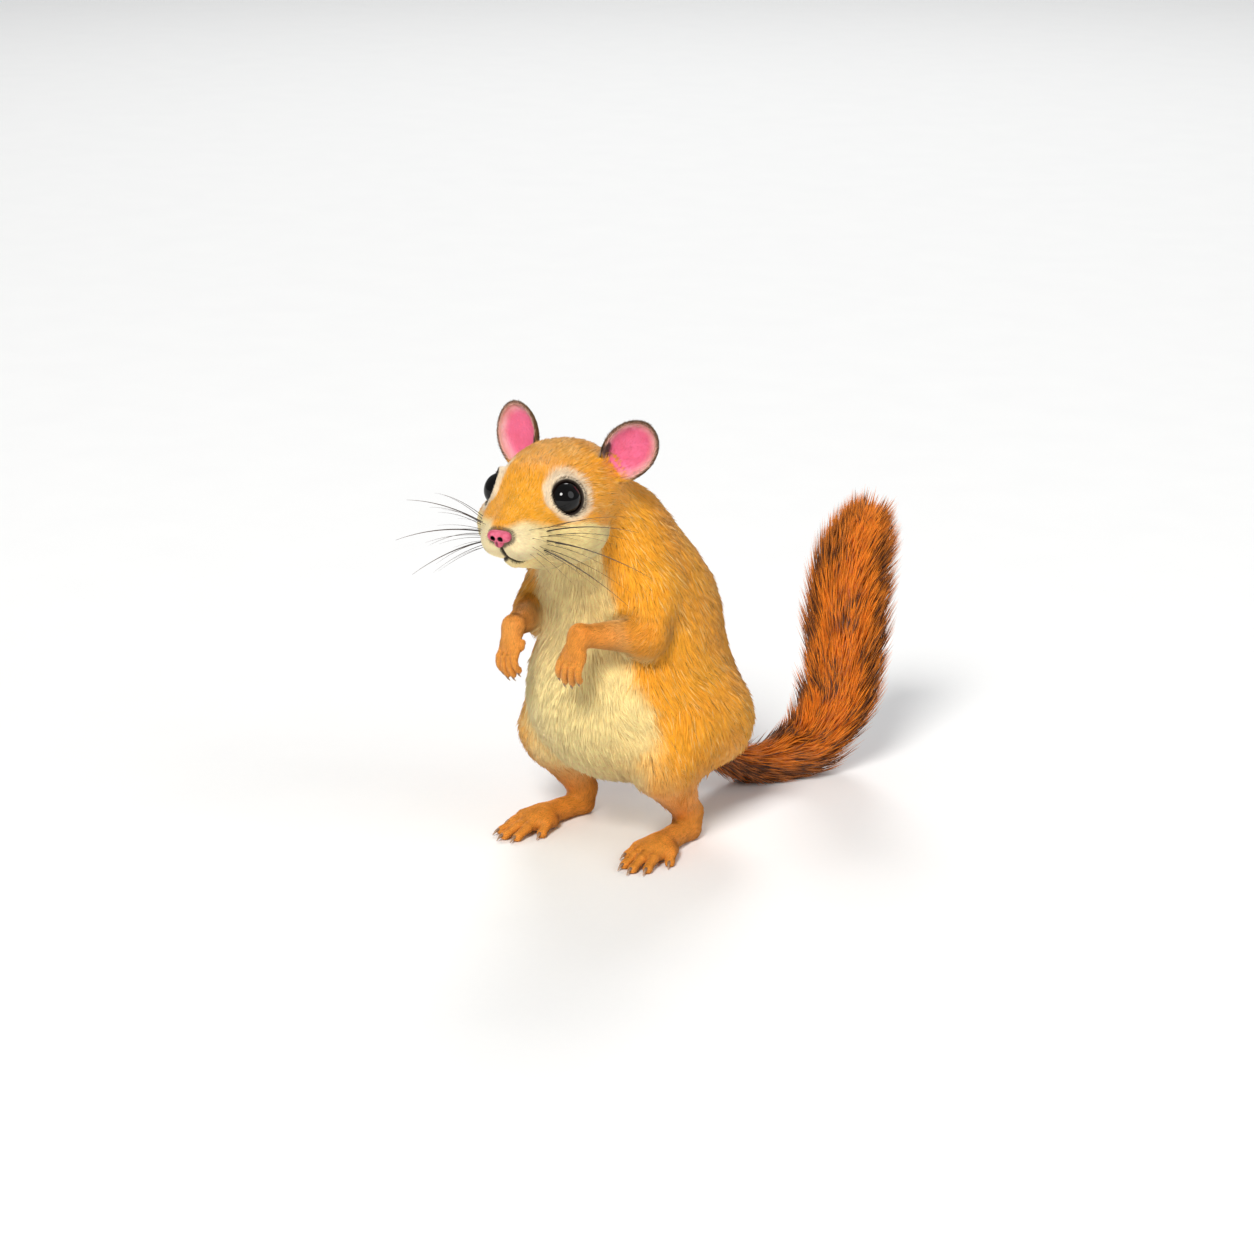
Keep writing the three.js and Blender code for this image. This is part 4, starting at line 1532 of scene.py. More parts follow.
@dataclass
class HindLeg:
    """One hind leg: thigh, shank, and a long flat foot with five toes."""

    side: Side
    heel: tuple[float, float] = (15.5, 4.5)
    far_ahead: float = 2.5
    splay: float = 7
    toes: tuple[Toe, ...] = (
        Toe(-3.9, -15.2, 4.6, -20), Toe(-2.1, -18.2, 7.2, -7), Toe(0, -18.8, 7.9, 0),
        Toe(2.1, -18.0, 7.0, 8), Toe(3.9, -14.6, 4.4, 22),
    )
    digit: Digit = Digit(1.2, 0.84, (0, 0.3, -0.05), (0.98, 1.1, 0.95), 4, (1.14, 1.1, 1.05))
    sole: tuple[Form, ...] = (
        Bar((0, -0.6, 3), (0, 0.2, 6.4), 3.2, 3.3),
        Bar((0, -1, 2.6), (0, -13, 2.7), 2.9, 3.0),
        Oval((0, -16, 2.5), (4.9, 4.8, 2.9)),
    )
    haunch: Oval = Oval((16.5, 2, 34), (10, 13, 13))
    thigh: tuple[float, float] = (14.2, 9.4)
    shank: tuple[float, float] = (7, 3.5)
    place: Placement = field(init=False)

    def __post_init__(self) -> None:
        """Works out the joints' places and the foot's own axes."""
        sign = self.side.value
        x, y = self.heel[0] * sign, self.heel[1] - (0 if sign > 0 else self.far_ahead)
        self.hip = np.array(self.side.mirror((14, 9, 30)))
        self.knee = np.array(self.side.mirror((16.5, -7, 25.5)))
        self.shin = np.array(self.side.mirror((16.5, -6, 20.5)))
        self.ankle = np.array((x, y - 0.5, 7.2))
        self.place = Placement(np.array((x, y, 0.0)), turned(2, self.splay * sign))

    def toe_line(self, toe: Toe, steps: Sequence[tuple[float, float]]) -> Array:
        """Points along a toe in the foot's axes, each given by how far along and how high.

        Args:
            toe: Which one.
            steps: How far along and how high.

        Returns:
            The line's points.
        """
        angle = math.radians(toe.out)
        sign = self.side.value
        return np.array([
            ((toe.x + math.sin(angle) * s) * sign, toe.y - math.cos(angle) * s, z)
            for s, z in steps
        ])

    @staticmethod
    def thigh_lie(p: Array) -> Array:
        """Back and down over the haunch, then down to the shank."""
        low = smoothstep(-p[:, 2], -30, -18)
        return np.stack([0 * low, mix(0.3, 0.1, low), -1 + 0 * low], 1)

    def regions(self) -> list[Region]:
        """The hind leg's flesh.

        Returns:
            The regions, with how their coat lies.
        """
        word = self.side.word
        thigh = Blend(5, [Bar(self.hip, self.knee, *self.thigh), self.haunch.on(self.side)])
        digits: list[Form] = []
        for toe in self.toes:
            steps = [(-2, 1.9), (toe.long * 0.3, 2.5), (toe.long * 0.65, 1.75), (toe.long, 1.05)]
            digits += self.digit.forms(smooth_line(self.toe_line(toe, steps), 8))
        ahead = steady(self.place.aim((0, -1, -0.15)))
        toes_at = self.place.out((0, -24, 1))
        foot_axis = (self.place.out((0, 4, 3)), toes_at)
        haunch, foot = f"haunch_{word}", f"foot_{word}"
        return [
            Region(f"thigh_{word}", thigh, self.thigh_lie,
                   Hair(self.shin, 3.2, 5.2, 18, layers=13), (self.hip, self.knee),
                   depth=1.3, join=3.6, piece=haunch),
            Region(f"shank_{word}", Bar(self.shin, self.ankle, *self.shank),
                   steady(self.ankle - self.shin + (0, -3, 0)),
                   Hair(self.ankle, 1.7, 3.4, 14, lift=13, layers=7), (self.shin, self.ankle),
                   depth=0.8, join=4, piece=haunch),
            Region(foot, Blend(2.2, self.sole), ahead,
                   Hair(toes_at, 0.9, 1.7, 24, lift=10, layers=4), foot_axis, self.place,
                   depth=0.3, join=2.4, piece=foot),
            Region(f"toes_{word}", Blend(0.5, digits), ahead,
                   Hair(toes_at, 0.7, 1.1, 8, lift=9, layers=3), foot_axis, self.place,
                   piece=foot),
        ]

    def claws(self) -> Array:
        """The lines of the claws, in the animal's frame.

        Returns:
            Points, claw by claw.
        """
        lines = []
        for toe in self.toes:
            steps = [(toe.long - 0.2, 1.3), (toe.long + 1.3, 1.35), (toe.long + 2.6, 0.42)]
            lines.append(self.place.out(smooth_line(self.toe_line(toe, steps), 7)))
        return np.array(lines)


@dataclass
class Tail:
    """The tail's core and its long brush."""

    path: tuple[Point, ...] = (
        (0, 21, 19), (1.5, 33, 11), (5.5, 46, 4.4), (12.5, 58.5, 7.2),
        (17.6, 64, 19), (19.6, 65, 37), (21, 65.5, 55), (25, 68, 72),
    )
    slim: float = 4.5
    full: float = 11.2
    fullest: float = 0.74
    rounding: float = 0.68
    beyond: float = 0.13
    core_share: float = 0.44
    core_end: float = 0.92
    core_taper: float = 0.17
    core_steps: int = 40
    lengths: tuple[float, float] = (9.5, 15.5)

    def __post_init__(self) -> None:
        """Lays out the tail's line."""
        self.line = smooth_line(self.path, 401)
        self.span = float(np.linalg.norm(np.diff(self.line, axis=0), axis=1).sum())
        self.ways = unit(np.gradient(self.line, axis=0))

    def fullness(self, u: Array) -> Array:
        """How full the brush is at a share of the tail's length."""
        return smoothstep(u, 0.1, 0.62)

    def radius(self, u: Array) -> Array:
        """The brush's radius out to the tips of its hair, closing beyond the last of them.

        Args:
            u: Shares of the tail's length.

        Returns:
            A radius for each.
        """
        past = np.clip((u - self.fullest) / (1 - self.fullest), 0, 1)
        full = mix(self.slim, self.full, self.fullness(u))
        full = full * np.sqrt(1 - self.rounding * past**3)
        return full * np.sqrt(np.clip(1 - np.maximum(u - 1, 0) / self.beyond, 0.12, 1))

    def core(self, u: Array) -> Array:
        """The radius of the skin under the brush.

        Args:
            u: Shares of the tail's length.

        Returns:
            A radius for each.
        """
        past = np.clip(1 - (self.core_end - u) / self.core_taper, 0, 1)
        slim = mix(0.86, 1, smoothstep(-u, -0.12, 0))
        return self.core_share * slim * self.radius(u) * np.sqrt(1 - 0.98 * past**2)

    def at(self, u: Array, angle: Array, out: Array) -> Array:
        """The points at shares of the length, angles round the line and distances from it.

        Args:
            u: Shares of the tail's length.
            angle: Angles round its line.
            out: Distances from it.

        Returns:
            A point for each.
        """
        place = np.clip(u, 0, 1) * (len(self.line) - 1)
        low = np.minimum(place.astype(int), len(self.line) - 2)
        part = (place - low)[..., None]
        ahead = unit(mix(self.ways[low], self.ways[low + 1], part))
        centre = mix(self.line[low], self.line[low + 1], part)
        centre = centre + ahead * (np.maximum(u - 1, 0) * self.span)[..., None]
        across = unit(np.cross(ahead, (1, 0, 0)))
        over = np.cross(across, ahead)
        spin = across * np.cos(angle)[..., None] + over * np.sin(angle)[..., None]
        return centre + spin * np.asarray(out)[..., None]

    def regions(self) -> list[Region]:
        """The tail's flesh.

        Returns:
            The regions, with how their coat lies.
        """
        shares = np.linspace(-0.02, self.core_end, self.core_steps)
        points = self.at(shares, np.zeros(len(shares)), np.zeros(len(shares)))
        core = linked(points, self.core(shares), 0.4)
        lie, axis = steady((0.0, 1.0, -0.5)), (self.line[0], self.line[-1])
        return [Region("tail", core, lie, NO_HAIR, axis, join=3)]


def meshed(flesh: Flesh, voxel: float, adaptivity: float) -> Sheet:
    """A closed mesh of the surface where a field of distances is nought.

    Only the small blocks near the surface are worked out.

    Args:
        flesh: The field.
        voxel: The spacing of the grid.
        adaptivity: How far flat stretches may be made coarser, from 0 to 1.

    Returns:
        The mesh, with its vertices brought exactly onto the surface, and their normals.
    """
    boxes = np.array([region.box() for region in flesh.regions])
    low = np.floor(boxes[:, 0].min(0) / voxel / BLOCK).astype(int) - 1
    high = np.ceil(boxes[:, 1].max(0) / voxel / BLOCK).astype(int) + 1
    cells = np.stack(np.meshgrid(*[np.arange(a, b) for a, b in zip(low, high)], indexing="ij"), -1)
    cells = cells.reshape(-1, 3)
    middles = ((cells + 0.5) * BLOCK - 0.5) * voxel
    depth = flesh.distance(middles.astype(np.float32))
    reach = BLOCK * voxel * 0.5 * math.sqrt(3) * 1.35
    grid = vdb.FloatGrid(1.0)
    for cell in cells[depth <= -reach]:
        first = tuple(int(c) for c in cell * BLOCK)
        grid.fill(first, tuple(c + BLOCK - 1 for c in first), -1.0, active=False)
    inner = np.stack(np.meshgrid(*[np.arange(BLOCK)] * 3, indexing="ij"), -1).reshape(-1, 3)
    close = cells[np.abs(depth) < reach] * BLOCK
    for start in range(0, len(close), BATCH):
        some = close[start:start + BATCH]
        points = (some[:, None] + inner) * voxel
        values = flesh.distance(points.reshape(-1, 3).astype(np.float32))
        values = np.clip(values, -1, 1).astype(np.float32).reshape(-1, BLOCK, BLOCK, BLOCK)
        for first, cube in zip(some, values):
            grid.copyFromArray(cube, ijk=tuple(int(c) for c in first))
    points, triangles, quads = grid.convertToPolygons(isovalue=0.0, adaptivity=adaptivity)
    points = flesh.settle(points * voxel, 2)
    faces = triangles if len(triangles) else quads
    a, b, c = (points[faces[:, i]] for i in range(3))
    outward = flesh.slope((a + b + c) / 3)
    if np.einsum("ij,ij->i", np.cross(b - a, c - a), outward).mean() < 0:
        triangles, quads = triangles[:, ::-1], quads[:, ::-1]
    return Sheet(points, triangles.astype(int), quads.astype(int), normals=flesh.slope(points))


class Markings:
    """Where the coat is gold, cream, tan, rust, dark or bare, with painted shade along the mouth
    and round the nose pad.

    The face is gold above an edge whose height is given at places along the head, and the
    body is gold beyond an edge at an angle round it from the front.
    """

    face_edge_y = (-25, -21, -15, -9, -4, 1, 6, 11)
    face_edge_z = (-1.9, -1.3, -1.5, -2.2, -4, -8, -12, -15)
    body_edge = (50, 62)
    snout = (17, 25)
    eye_ring = (-2.5, -1.1)
    lid_line = (-0.95, -0.5)
    # painted shade: bands darkened along the mouth's furrow and in the crease round the nose pad
    lip_line = (-0.32, -0.08)
    nose_line = (-0.6, -0.2)
    lip_reach = 14

    def __init__(self, trunk: Trunk, head: Head, ears: list[Ear], mouth: list[Cut],
                 names: list[str]) -> None:
        """Keeps the parts that the markings are measured from.

        Args:
            trunk, head, ears: The parts.
            mouth: The cleft and the line of the lips.
            names: The names of the flesh's regions.
        """
        self.trunk = trunk
        self.head = head
        self.ears = ears
        self.mouth = [cut.form for cut in mouth]
        self.names = names
        self.edge = Ripple(9, 3)
        self.cloud = Ripple(16, 4)

    def share(self, shares: Array, *starts: str) -> Array:
        """How much of the regions whose names start so there is at each point."""
        return sum(shares[:, i] for i, n in enumerate(self.names) if n.startswith(starts))

    def bare(self, p: Array) -> Array:
        """How bare the skin is: 1 inside the ears, 0 under the coat."""
        return np.max([ear.inner(p) * (1 - ear.tufted(p)) for ear in self.ears], 0)

    @staticmethod
    def gap(p: Array, near: Array, distance: Callable[[Array], Array]) -> Array:
        """Distances worked out for the near points, and far for all others.

        Args:
            p: Points, one a row.
            near: Which of them are near.
            distance: Works out the distances.

        Returns:
            A distance for each.
        """
        found = np.full(len(p), FAR)
        if near.any():
            found[near] = distance(p[near])
        return found

    def mouth_gap(self, p: Array) -> Array:
        """How far each point lies from the line of the mouth and the cleft above it."""
        near = inside(p, *self.mouth[0].limits(), self.lip_reach)
        return self.gap(p, near, lambda q: np.min([f.distance(q) for f in self.mouth], 0))

    def nose_gap(self, p: Array) -> Array:
        """How far each point lies from the bare pad of the nose."""
        pad = self.head.pad()
        return self.gap(p, pad.near(p), pad.distance)

    def eye_gap(self, p: Array) -> Array:
        """How far each point lies from the nearer eyeball.

        Args:
            p: Points, one a row.

        Returns:
            A distance for each.
        """
        centres = [self.head.eye_centre(side) for side in Side]
        gaps = [np.linalg.norm(p - c, axis=1) for c in centres]
        return np.min(gaps, 0) - self.head.eye_radius * self.head.scale

    def colours(self, p: Array, normal: Array, apart: Array) -> Array:
        """The coat's or the bare skin's colour at each point, with painted shade along the mouth
        and round the nose pad.

        Args:
            p: Points on the skin.
            normal: The way out of the skin at each.
            apart: How far each lies from each region.

        Returns:
            Their colours, as linear light.
        """
        shares = shared(apart, 2.4)
        wave = self.edge.at(p)
        local = self.head.place.into(p)
        on_head = self.share(shares, "skull", "lid", "ear")
        limit = np.interp(local[:, 1], self.face_edge_y, self.face_edge_z)
        head_gold = smoothstep(local[:, 2] - limit + 0.4 * wave, -0.9, 0.9)
        angle = self.trunk.fronted(p) + 2.5 * wave
        gold = mix(self.body_gold(p, normal, angle, shares), head_gold, on_head)
        back = smoothstep(angle, 95, 170) * (1 - on_head)
        deep = np.clip(0.3 * back + 0.16 * self.cloud.at(p) + 0.08, 0, 0.6)
        rich = toward(np.array(PALETTE.gold), PALETTE.deep_gold, deep)
        colour = mix(np.array(PALETTE.cream), rich, gold[:, None])
        snout = smoothstep(-local[:, 1], *self.snout) * (1 - gold) * on_head
        colour = toward(colour, PALETTE.white, 0.45 * snout)
        gap = self.eye_gap(p)
        colour = toward(colour, PALETTE.white, 0.8 * (smoothstep(-gap, *self.eye_ring) * on_head))
        close = shared(apart, 0.7)
        limbs = self.share(shares, "forearm", "palm", "fingers", "shank", "foot", "toes")
        limbs = limbs * (1 - self.share(close, "trunk", "neck"))
        colour = toward(colour, PALETTE.tan, limbs)
        colour = toward(colour, PALETTE.rust, self.share(shares, "tail"))
        for ear in self.ears:
            colour = self.ear_colours(ear, p, colour, close)
        dark = smoothstep(-gap, *self.lid_line) * on_head
        # painted shade: dark along the mouth's furrow and in the crease round the nose pad
        dark = np.maximum(dark, 0.95 * smoothstep(-self.mouth_gap(p), *self.lip_line))
        dark = np.maximum(dark, 0.8 * smoothstep(-self.nose_gap(p), *self.nose_line))
        return toward(colour, PALETTE.sable, dark)

    def body_gold(self, p: Array, normal: Array, angle: Array, shares: Array) -> Array:
        """How golden the body is: on its back and sides, and outside on thighs and arms.

        Args:
            p: Points, one a row.
            normal: The way out of the skin at each.
            angle: Their angles round the body from its front.
            shares: How much of each region there is.

        Returns:
            A share from 0 to 1 for each.
        """
        gold = smoothstep(angle, *self.body_edge) * smoothstep(normal[:, 2], -0.86, -0.5)
        haunch = self.share(shares, "thigh", "upper_arm")
        outer = smoothstep(np.sign(p[:, 0]) * normal[:, 0] + 0.35 * normal[:, 1], -0.35, 0.1)
        return mix(gold, np.maximum(gold, outer), haunch)

    def ear_colours(self, ear: Ear, p: Array, colour: Array, shares: Array) -> Array:
        """The colours with an ear's dark rim and pink hollow laid over them.

        Args:
            ear: The ear.
            p: Points, one a row.
            colour: Their colours so far.
            shares: How much of each region there is.

        Returns:
            The new colours.
        """
        on_ear = self.share(shares, f"ear_{ear.side.word}")
        up, out, _ = ear.shape(ear.place.into(p))
        rim = smoothstep(out, 0.84, 0.95) * smoothstep(up, 0.05, 0.25) * on_ear
        colour = toward(colour, PALETTE.sable, 0.9 * rim)
        pale = toward(np.array(PALETTE.pink), PALETTE.white, 0.55 * smoothstep(out, 0.62, 0.95))
        colour = mix(colour, pale, ear.inner(p)[:, None])
        return toward(colour, PALETTE.sable, 0.85 * ear.tufted(p))


class Skin:
    """One closed skin over all of the flesh."""

    voxel = 0.23
    adaptivity = 0.03

    def __init__(self, flesh: Flesh, markings: Markings) -> None:
        """Meshes the flesh.

        Args:
            flesh: The field of distances.
            markings: The colours.
        """
        self.flesh = flesh
        self.sheet = meshed(flesh, self.voxel, self.adaptivity)
        apart = flesh.apart(self.sheet.points)
        self.shares = shared(apart)
        self.sheet.colours = markings.colours(self.sheet.points, self.sheet.normals, apart)
        self.bare = markings.bare(self.sheet.points)

    def build(self, figure: Figure) -> bpy.types.Object:
        """Makes the skin's object, with the bare skin of the ears in a finish of its own.

        Args:
            figure: Takes the points to the solids' frame.

        Returns:
            The new object.
        """
        made = self.sheet.build("skin", figure, [HideFinish(), BareFinish()])
        faces = np.concatenate([
            self.bare[self.sheet.triangles].mean(1), self.bare[self.sheet.quads].mean(1)
        ])
        made.data.polygons.foreach_set("material_index", (faces > 0.5).astype(np.int32))
        nodes = ["torso", "neck", "head"]
        pairs = ("whisker_pad", "ear", "upper_arm", "forearm", "forepaw", "thigh", "shank", "foot")
        nodes += [f"{part}_{side.word}" for part in pairs for side in Side]
        nodes += [f"tail_{part}" for part in ("root", "bend", "rise", "brush", "tip")]
        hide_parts(*nodes)
        return made


@dataclass
class Tufts:
    """Many short tufts: where each is rooted, how it lies, and its size and colour.

    normal is the way out of the skin at the root, and outward at the tip.
    """

    root: Array
    normal: Array
    way: Array
    length: Array
    width: Array
    lift: Array
    shift: Array
    colour: Array
    shade: Array
    spot: Array
    outward: Array

    def only(self, chosen: Array) -> "Tufts":
        """The chosen tufts alone."""
        return Tufts(*(getattr(self, column.name)[chosen] for column in fields(self)))

    sunk: ClassVar[float] = 0.12
    bend_at: ClassVar[float] = 0.42
    tip_lift: ClassVar[float] = 0.6
    spot_size: ClassVar[float] = 0.003
    turned_under: ClassVar[float] = 0.35

    def leaning(self, lift: Array) -> Array:
        """The way of each tuft when it rises from the skin by an angle."""
        return self.normal * np.sin(lift)[:, None] + self.way * np.cos(lift)[:, None]

    def tips(self) -> Array:
        """Where the tufts end."""
        rise = self.leaning(self.lift * self.tip_lift)
        return self.root + rise * self.length[:, None] + self.shift

    def sheet(self) -> Sheet:
        """Closed slim blades with a bend, four vertices each: root, both sides and tip.

        Returns:
            One sheet that holds all of the tufts.
        """
        side = np.cross(self.way, self.normal)
        rise = self.leaning(self.lift)
        long, half = self.length[:, None], self.width[:, None] / 2
        middle = self.root + rise * long * self.bend_at + self.shift * 0.3
        root = self.root - self.normal * self.sunk
        points = np.stack([root, middle - side * half, middle + side * half, self.tips()], 1)
        floor = 0.05 + 0.2 * self.shade[:, None]
        points[:, :, 2] = np.maximum(points[:, :, 2], floor)
        many = len(self.root)
        one = np.array([(0, 2, 1), (1, 2, 3), (0, 1, 3), (0, 3, 2)])
        faces = (one[None] + 4 * np.arange(many)[:, None, None]).reshape(-1, 3)
        patch = np.array([(0, -0.5), (-0.5, 0), (0.5, 0), (0, 0.5)]) * self.spot_size
        facing = np.einsum("ij,ij->i", self.normal, self.outward)[:, None]
        under = facing < self.turned_under
        first = np.where(under, self.outward, self.normal)
        between = unit(first + self.outward)
        soft = np.stack([
            first, unit(between - side * 0.7), unit(between + side * 0.7),
            unit(self.outward + self.way * 0.3),
        ], 1)
        return Sheet(
            points.reshape(-1, 3),
            faces,
            numbers={
                "along": np.tile([0.0, 0.5, 0.5, 1.0], many),
                "shade": np.repeat(self.shade, 4),
            },
            colours=np.repeat(self.colour, 4, 0),
            normals=soft.reshape(-1, 3),
            spots=(self.spot[:, None] + patch).reshape(-1, 2),
        )


class Coat:
    """The short coat all over the skin.

    Pairs are the least and the greatest of what is drawn, or where a change begins and ends.
    """

    whorl = Ripple(13, 5)
    sway = Ripple(4.5, 6)
    swings = (0.24, 0.2, 0.12)  # by whorl, by sway and by chance
    lifts = (0.65, 1.4)
    lengths = (0.72, 1.18)
    long_share = 0.05
    long_by = 1.25
    short_lips = 0.42  # how short the coat is at the lips
    short_to = (0.3, 3.0)
    bare_thin = 0.86
    lid_edge = (0.35, 0.9)
    lip_edge = (0.08, 0.4)
    nose_edge = (0.1, 0.5)
    buried_by = 0.42  # how short a tuft becomes whose tip lies in the flesh
    most_lift = 0.9  # how far a tip is moved out of the skin
    clump_pull = 0.42
    clump_most = (0.12, 0.28)  # in millimetres, and as a share of the length
    dark_share = 0.035
    pale_share = 0.1
    front_edge = 56  # degrees from the front, where two of the pieces meet
    face_edge = -12  # along the head, where two of its pieces meet

    def __init__(self, skin: Skin, markings: Markings) -> None:
        """Roots the tufts on the skin.

        Args:
            skin: What the coat grows on.
            markings: The colours.
        """
        self.skin = skin
        self.markings = markings
        self.draw = np.random.default_rng(SEED)
        self.tufts, self.region = self.grown()

    def rooted(self) -> tuple[Array, Array, Array]:
        """Draws the roots, denser where the hair is short.

        Returns:
            The roots, the way out of the skin at each, and the length of the hair there.
        """
        sheet, flesh = self.skin.sheet, self.skin.flesh
        quads = sheet.quads
        triangles = np.concatenate([sheet.triangles, quads[:, [0, 1, 2]], quads[:, [0, 2, 3]]])
        a, b, c = (sheet.points[triangles[:, i]] for i in range(3))
        area = np.linalg.norm(np.cross(b - a, c - a), axis=1) / 2
        shares = self.skin.shares
        length = sum(shares[:, i] * r.hair.length(sheet.points)
                     for i, r in enumerate(flesh.regions))
        gap = self.markings.mouth_gap(sheet.points)
        length *= mix(self.short_lips, 1, smoothstep(gap, *self.short_to))
        layers = shares @ np.array([r.hair.layers for r in flesh.regions])
        density = layers / (length * self.width_of(length))
        density *= self.cover(sheet.points, sheet.normals)
        wanted = np.cumsum(area * density[triangles].mean(1))
        picks = np.arange(int(wanted[-1])) + self.draw.uniform(0, 1, int(wanted[-1]))
        chosen = np.searchsorted(wanted, np.clip(picks, 0, wanted[-1] - 1e-6))
        s, t = self.draw.uniform(0, 1, (2, len(chosen)))
        s, t = np.where(s + t > 1, 1 - s, s), np.where(s + t > 1, 1 - t, t)
        weight = np.stack([1 - s - t, s, t], 1)[:, :, None]
        corner = triangles[chosen]
        root = (sheet.points[corner] * weight).sum(1)
        normal = unit((sheet.normals[corner] * weight).sum(1))
        return root, normal, (length[corner] * weight[:, :, 0]).sum(1)

    @staticmethod
    def width_of(length: Array) -> Array:
        """How wide a tuft of some length is."""
        return 0.08 + 0.023 * length

    def cover(self, p: Array, normal: Array) -> Array:
        """How much of the coat grows at each point, thin on bare skin, lids and soles.

        Args:
            p: Points, one a row.
            normal: The way out of the skin at each.

        Returns:
            A share from 0 to 1 for each.
        """
        bare = self.markings.bare(p)
        lids = smoothstep(self.markings.eye_gap(p), *self.lid_edge)
        sole = 1 - smoothstep(-normal[:, 2], 0.4, 0.8) * smoothstep(-p[:, 2], -2.2, -1.0)
        lips = smoothstep(self.markings.mouth_gap(p), *self.lip_edge)
        nose = smoothstep(self.markings.nose_gap(p), *self.nose_edge)
        return (1 - self.bare_thin * bare) * lids * sole * lips * nose

    def grown(self) -> tuple[Tufts, Array]:
        """Lays every tuft along the coat, in locks that draw together at their tips.

        Returns:
            The tufts, and the number of the region that each grows on.
        """
        flesh, draw = self.skin.flesh, self.draw
        root, normal, length = self.rooted()
        many = len(root)
        apart = flesh.apart(root)
        shares = shared(apart)
        way = sum(shares[:, i, None] * unit(r.lie(root)) for i, r in enumerate(flesh.regions))
        way = unit(way - normal * np.einsum("ij,ij->i", way, normal)[:, None])
        side = np.cross(normal, way)
        by_whorl, by_sway, by_chance = self.swings
        swing = by_whorl * self.whorl.at(root) + by_sway * self.sway.at(root)
        swing = swing + draw.normal(0, by_chance, many)
        way = way * np.cos(swing)[:, None] + side * np.sin(swing)[:, None]
        lift = np.radians(shares @ np.array([r.hair.lift for r in flesh.regions]))
        lift = lift * draw.uniform(*self.lifts, many)
        length = length * draw.uniform(*self.lengths, many)
        longer = draw.uniform(0, 1, many) < self.long_share
        length = np.where(longer, length * self.long_by, length)
        shift = self.clumped(root, way, length)
        region = shares.argmax(1)
        colour = self.markings.colours(root, normal, apart)
        colour = self.ticked(colour, root, shares)
        spot = np.zeros((many, 2))
        for i, part in enumerate(flesh.regions):
            spot[region == i] = part.unwrapped(root[region == i])
        tufts = Tufts(root, normal, way, length, self.width_of(length), lift, shift, colour,
                      draw.uniform(0, 1, many), spot, normal.copy())
        self.lay(tufts, self.markings.share(shares, "ear"))
        return tufts, region

    def lay(self, tufts: Tufts, ears: Array) -> None:
        """Brings down tips that stand off the skin, and frees those that would pierce it.

        Args:
            tufts: The tufts, whose length, shift and way outward are changed.
            ears: How much each grows on an ear, where the fringe may stand out.
        """
        flesh = self.skin.flesh
        buried = smoothstep(-flesh.distance(tufts.tips()), -0.1, 0.8)
        tufts.length *= mix(1, self.buried_by, buried)
        tufts.shift *= mix(1, self.buried_by, buried)[:, None]
        tip = tufts.tips()
        high = flesh.distance(tip)
        wanted = 0.12 + tufts.length * np.sin(tufts.lift * tufts.tip_lift)
        move = np.clip(wanted - high, 0, self.most_lift)
        move -= 0.8 * np.clip(high - 1.2 * wanted, 0, 4) * (1 - ears)
        tufts.shift += flesh.slope(tip) * move[:, None]
        tufts.outward = flesh.slope(tufts.tips())

    def clumped(self, root: Array, way: Array, length: Array) -> Array:
        """How far each tip moves towards the middle of its lock.

        Args:
            root, way, length: Of each tuft.

        Returns:
            A shift for each tip.
        """
        size = 0.35 + 0.24 * length
        cell = np.floor((root + self.draw.normal(0, 0.12, root.shape)) / size[:, None])
        cell = (cell + np.floor(np.log2(size * 8))[:, None] * 512).astype(np.int64)
        _, lock = np.unique(cell @ np.array([1, 4099, 16785407]), return_inverse=True)
        lock = lock.ravel()
        count = np.bincount(lock)
        middle = np.stack([np.bincount(lock, root[:, i]) / count for i in range(3)], 1)[lock]
        common = unit(np.stack([np.bincount(lock, way[:, i]) / count for i in range(3)], 1))[lock]
        shift = self.clump_pull * (middle - root + (common - way) * length[:, None])
        most = self.clump_most[0] + self.clump_most[1] * length
        far = np.linalg.norm(shift, axis=1)
        return shift * np.minimum(1, most / np.maximum(far, 1e-6))[:, None]

    def ticked(self, colour: Array, root: Array, shares: Array) -> Array:
        """A few dark or pale hairs among the gold ones.

        Args:
            colour, root: Of each tuft.
            shares: How much of each region there is.

        Returns:
            The new colours.
        """
        many = len(root)
        chance = self.draw.uniform(0, 1, many)
        upper = self.markings.share(shares, "trunk", "neck", "skull", "thigh", "upper_arm")
        gold = smoothstep(0.62 - colour[:, 2] / np.maximum(colour[:, 0], 1e-6), 0.3, 0.45)
        dark = (chance < self.dark_share) * upper * gold
        pale = (chance > 1 - self.pale_share) * upper * gold
        return toward(toward(colour, PALETTE.sable, 0.5 * dark), PALETTE.cream, 0.35 * pale)

    def pieces(self) -> dict[str, tuple[Array, Slot]]:
        """The tufts shared out among the coat's pieces.

        Returns:
            For each piece, which tufts it has, and its slot.
        """
        regions = self.skin.flesh.regions
        piece_of = np.array([r.piece for r in regions])[self.region]
        root = self.tufts.root
        local = self.markings.head.place.into(root)
        front = self.markings.trunk.fronted(root) < self.front_edge
        face = local[:, 1] < self.face_edge
        made: dict[str, tuple[Array, Slot]] = {}
        for side in Side:
            is_left = side is Side.LEFT
            body = (piece_of == "body") & ((root[:, 0] > 0) == is_left)
            head = (piece_of == "head") & ((local[:, 0] > 0) == is_left)
            word = side.word
            made[f"coat_front_{word}"] = (body & front, Slot.CREAM)
            made[f"coat_back_{word}"] = (body & ~front, Slot.GOLD)
            made[f"coat_face_{word}"] = (head & face, Slot.CREAM)
            made[f"coat_cheek_{word}"] = (head & ~face, Slot.GOLD)
            for part, slot in (("ear", Slot.GOLD), ("arm", Slot.PAW), ("haunch", Slot.GOLD),
                               ("foot", Slot.PAW)):
                made[f"coat_{part}_{word}"] = (piece_of == f"{part}_{word}", slot)
        return made

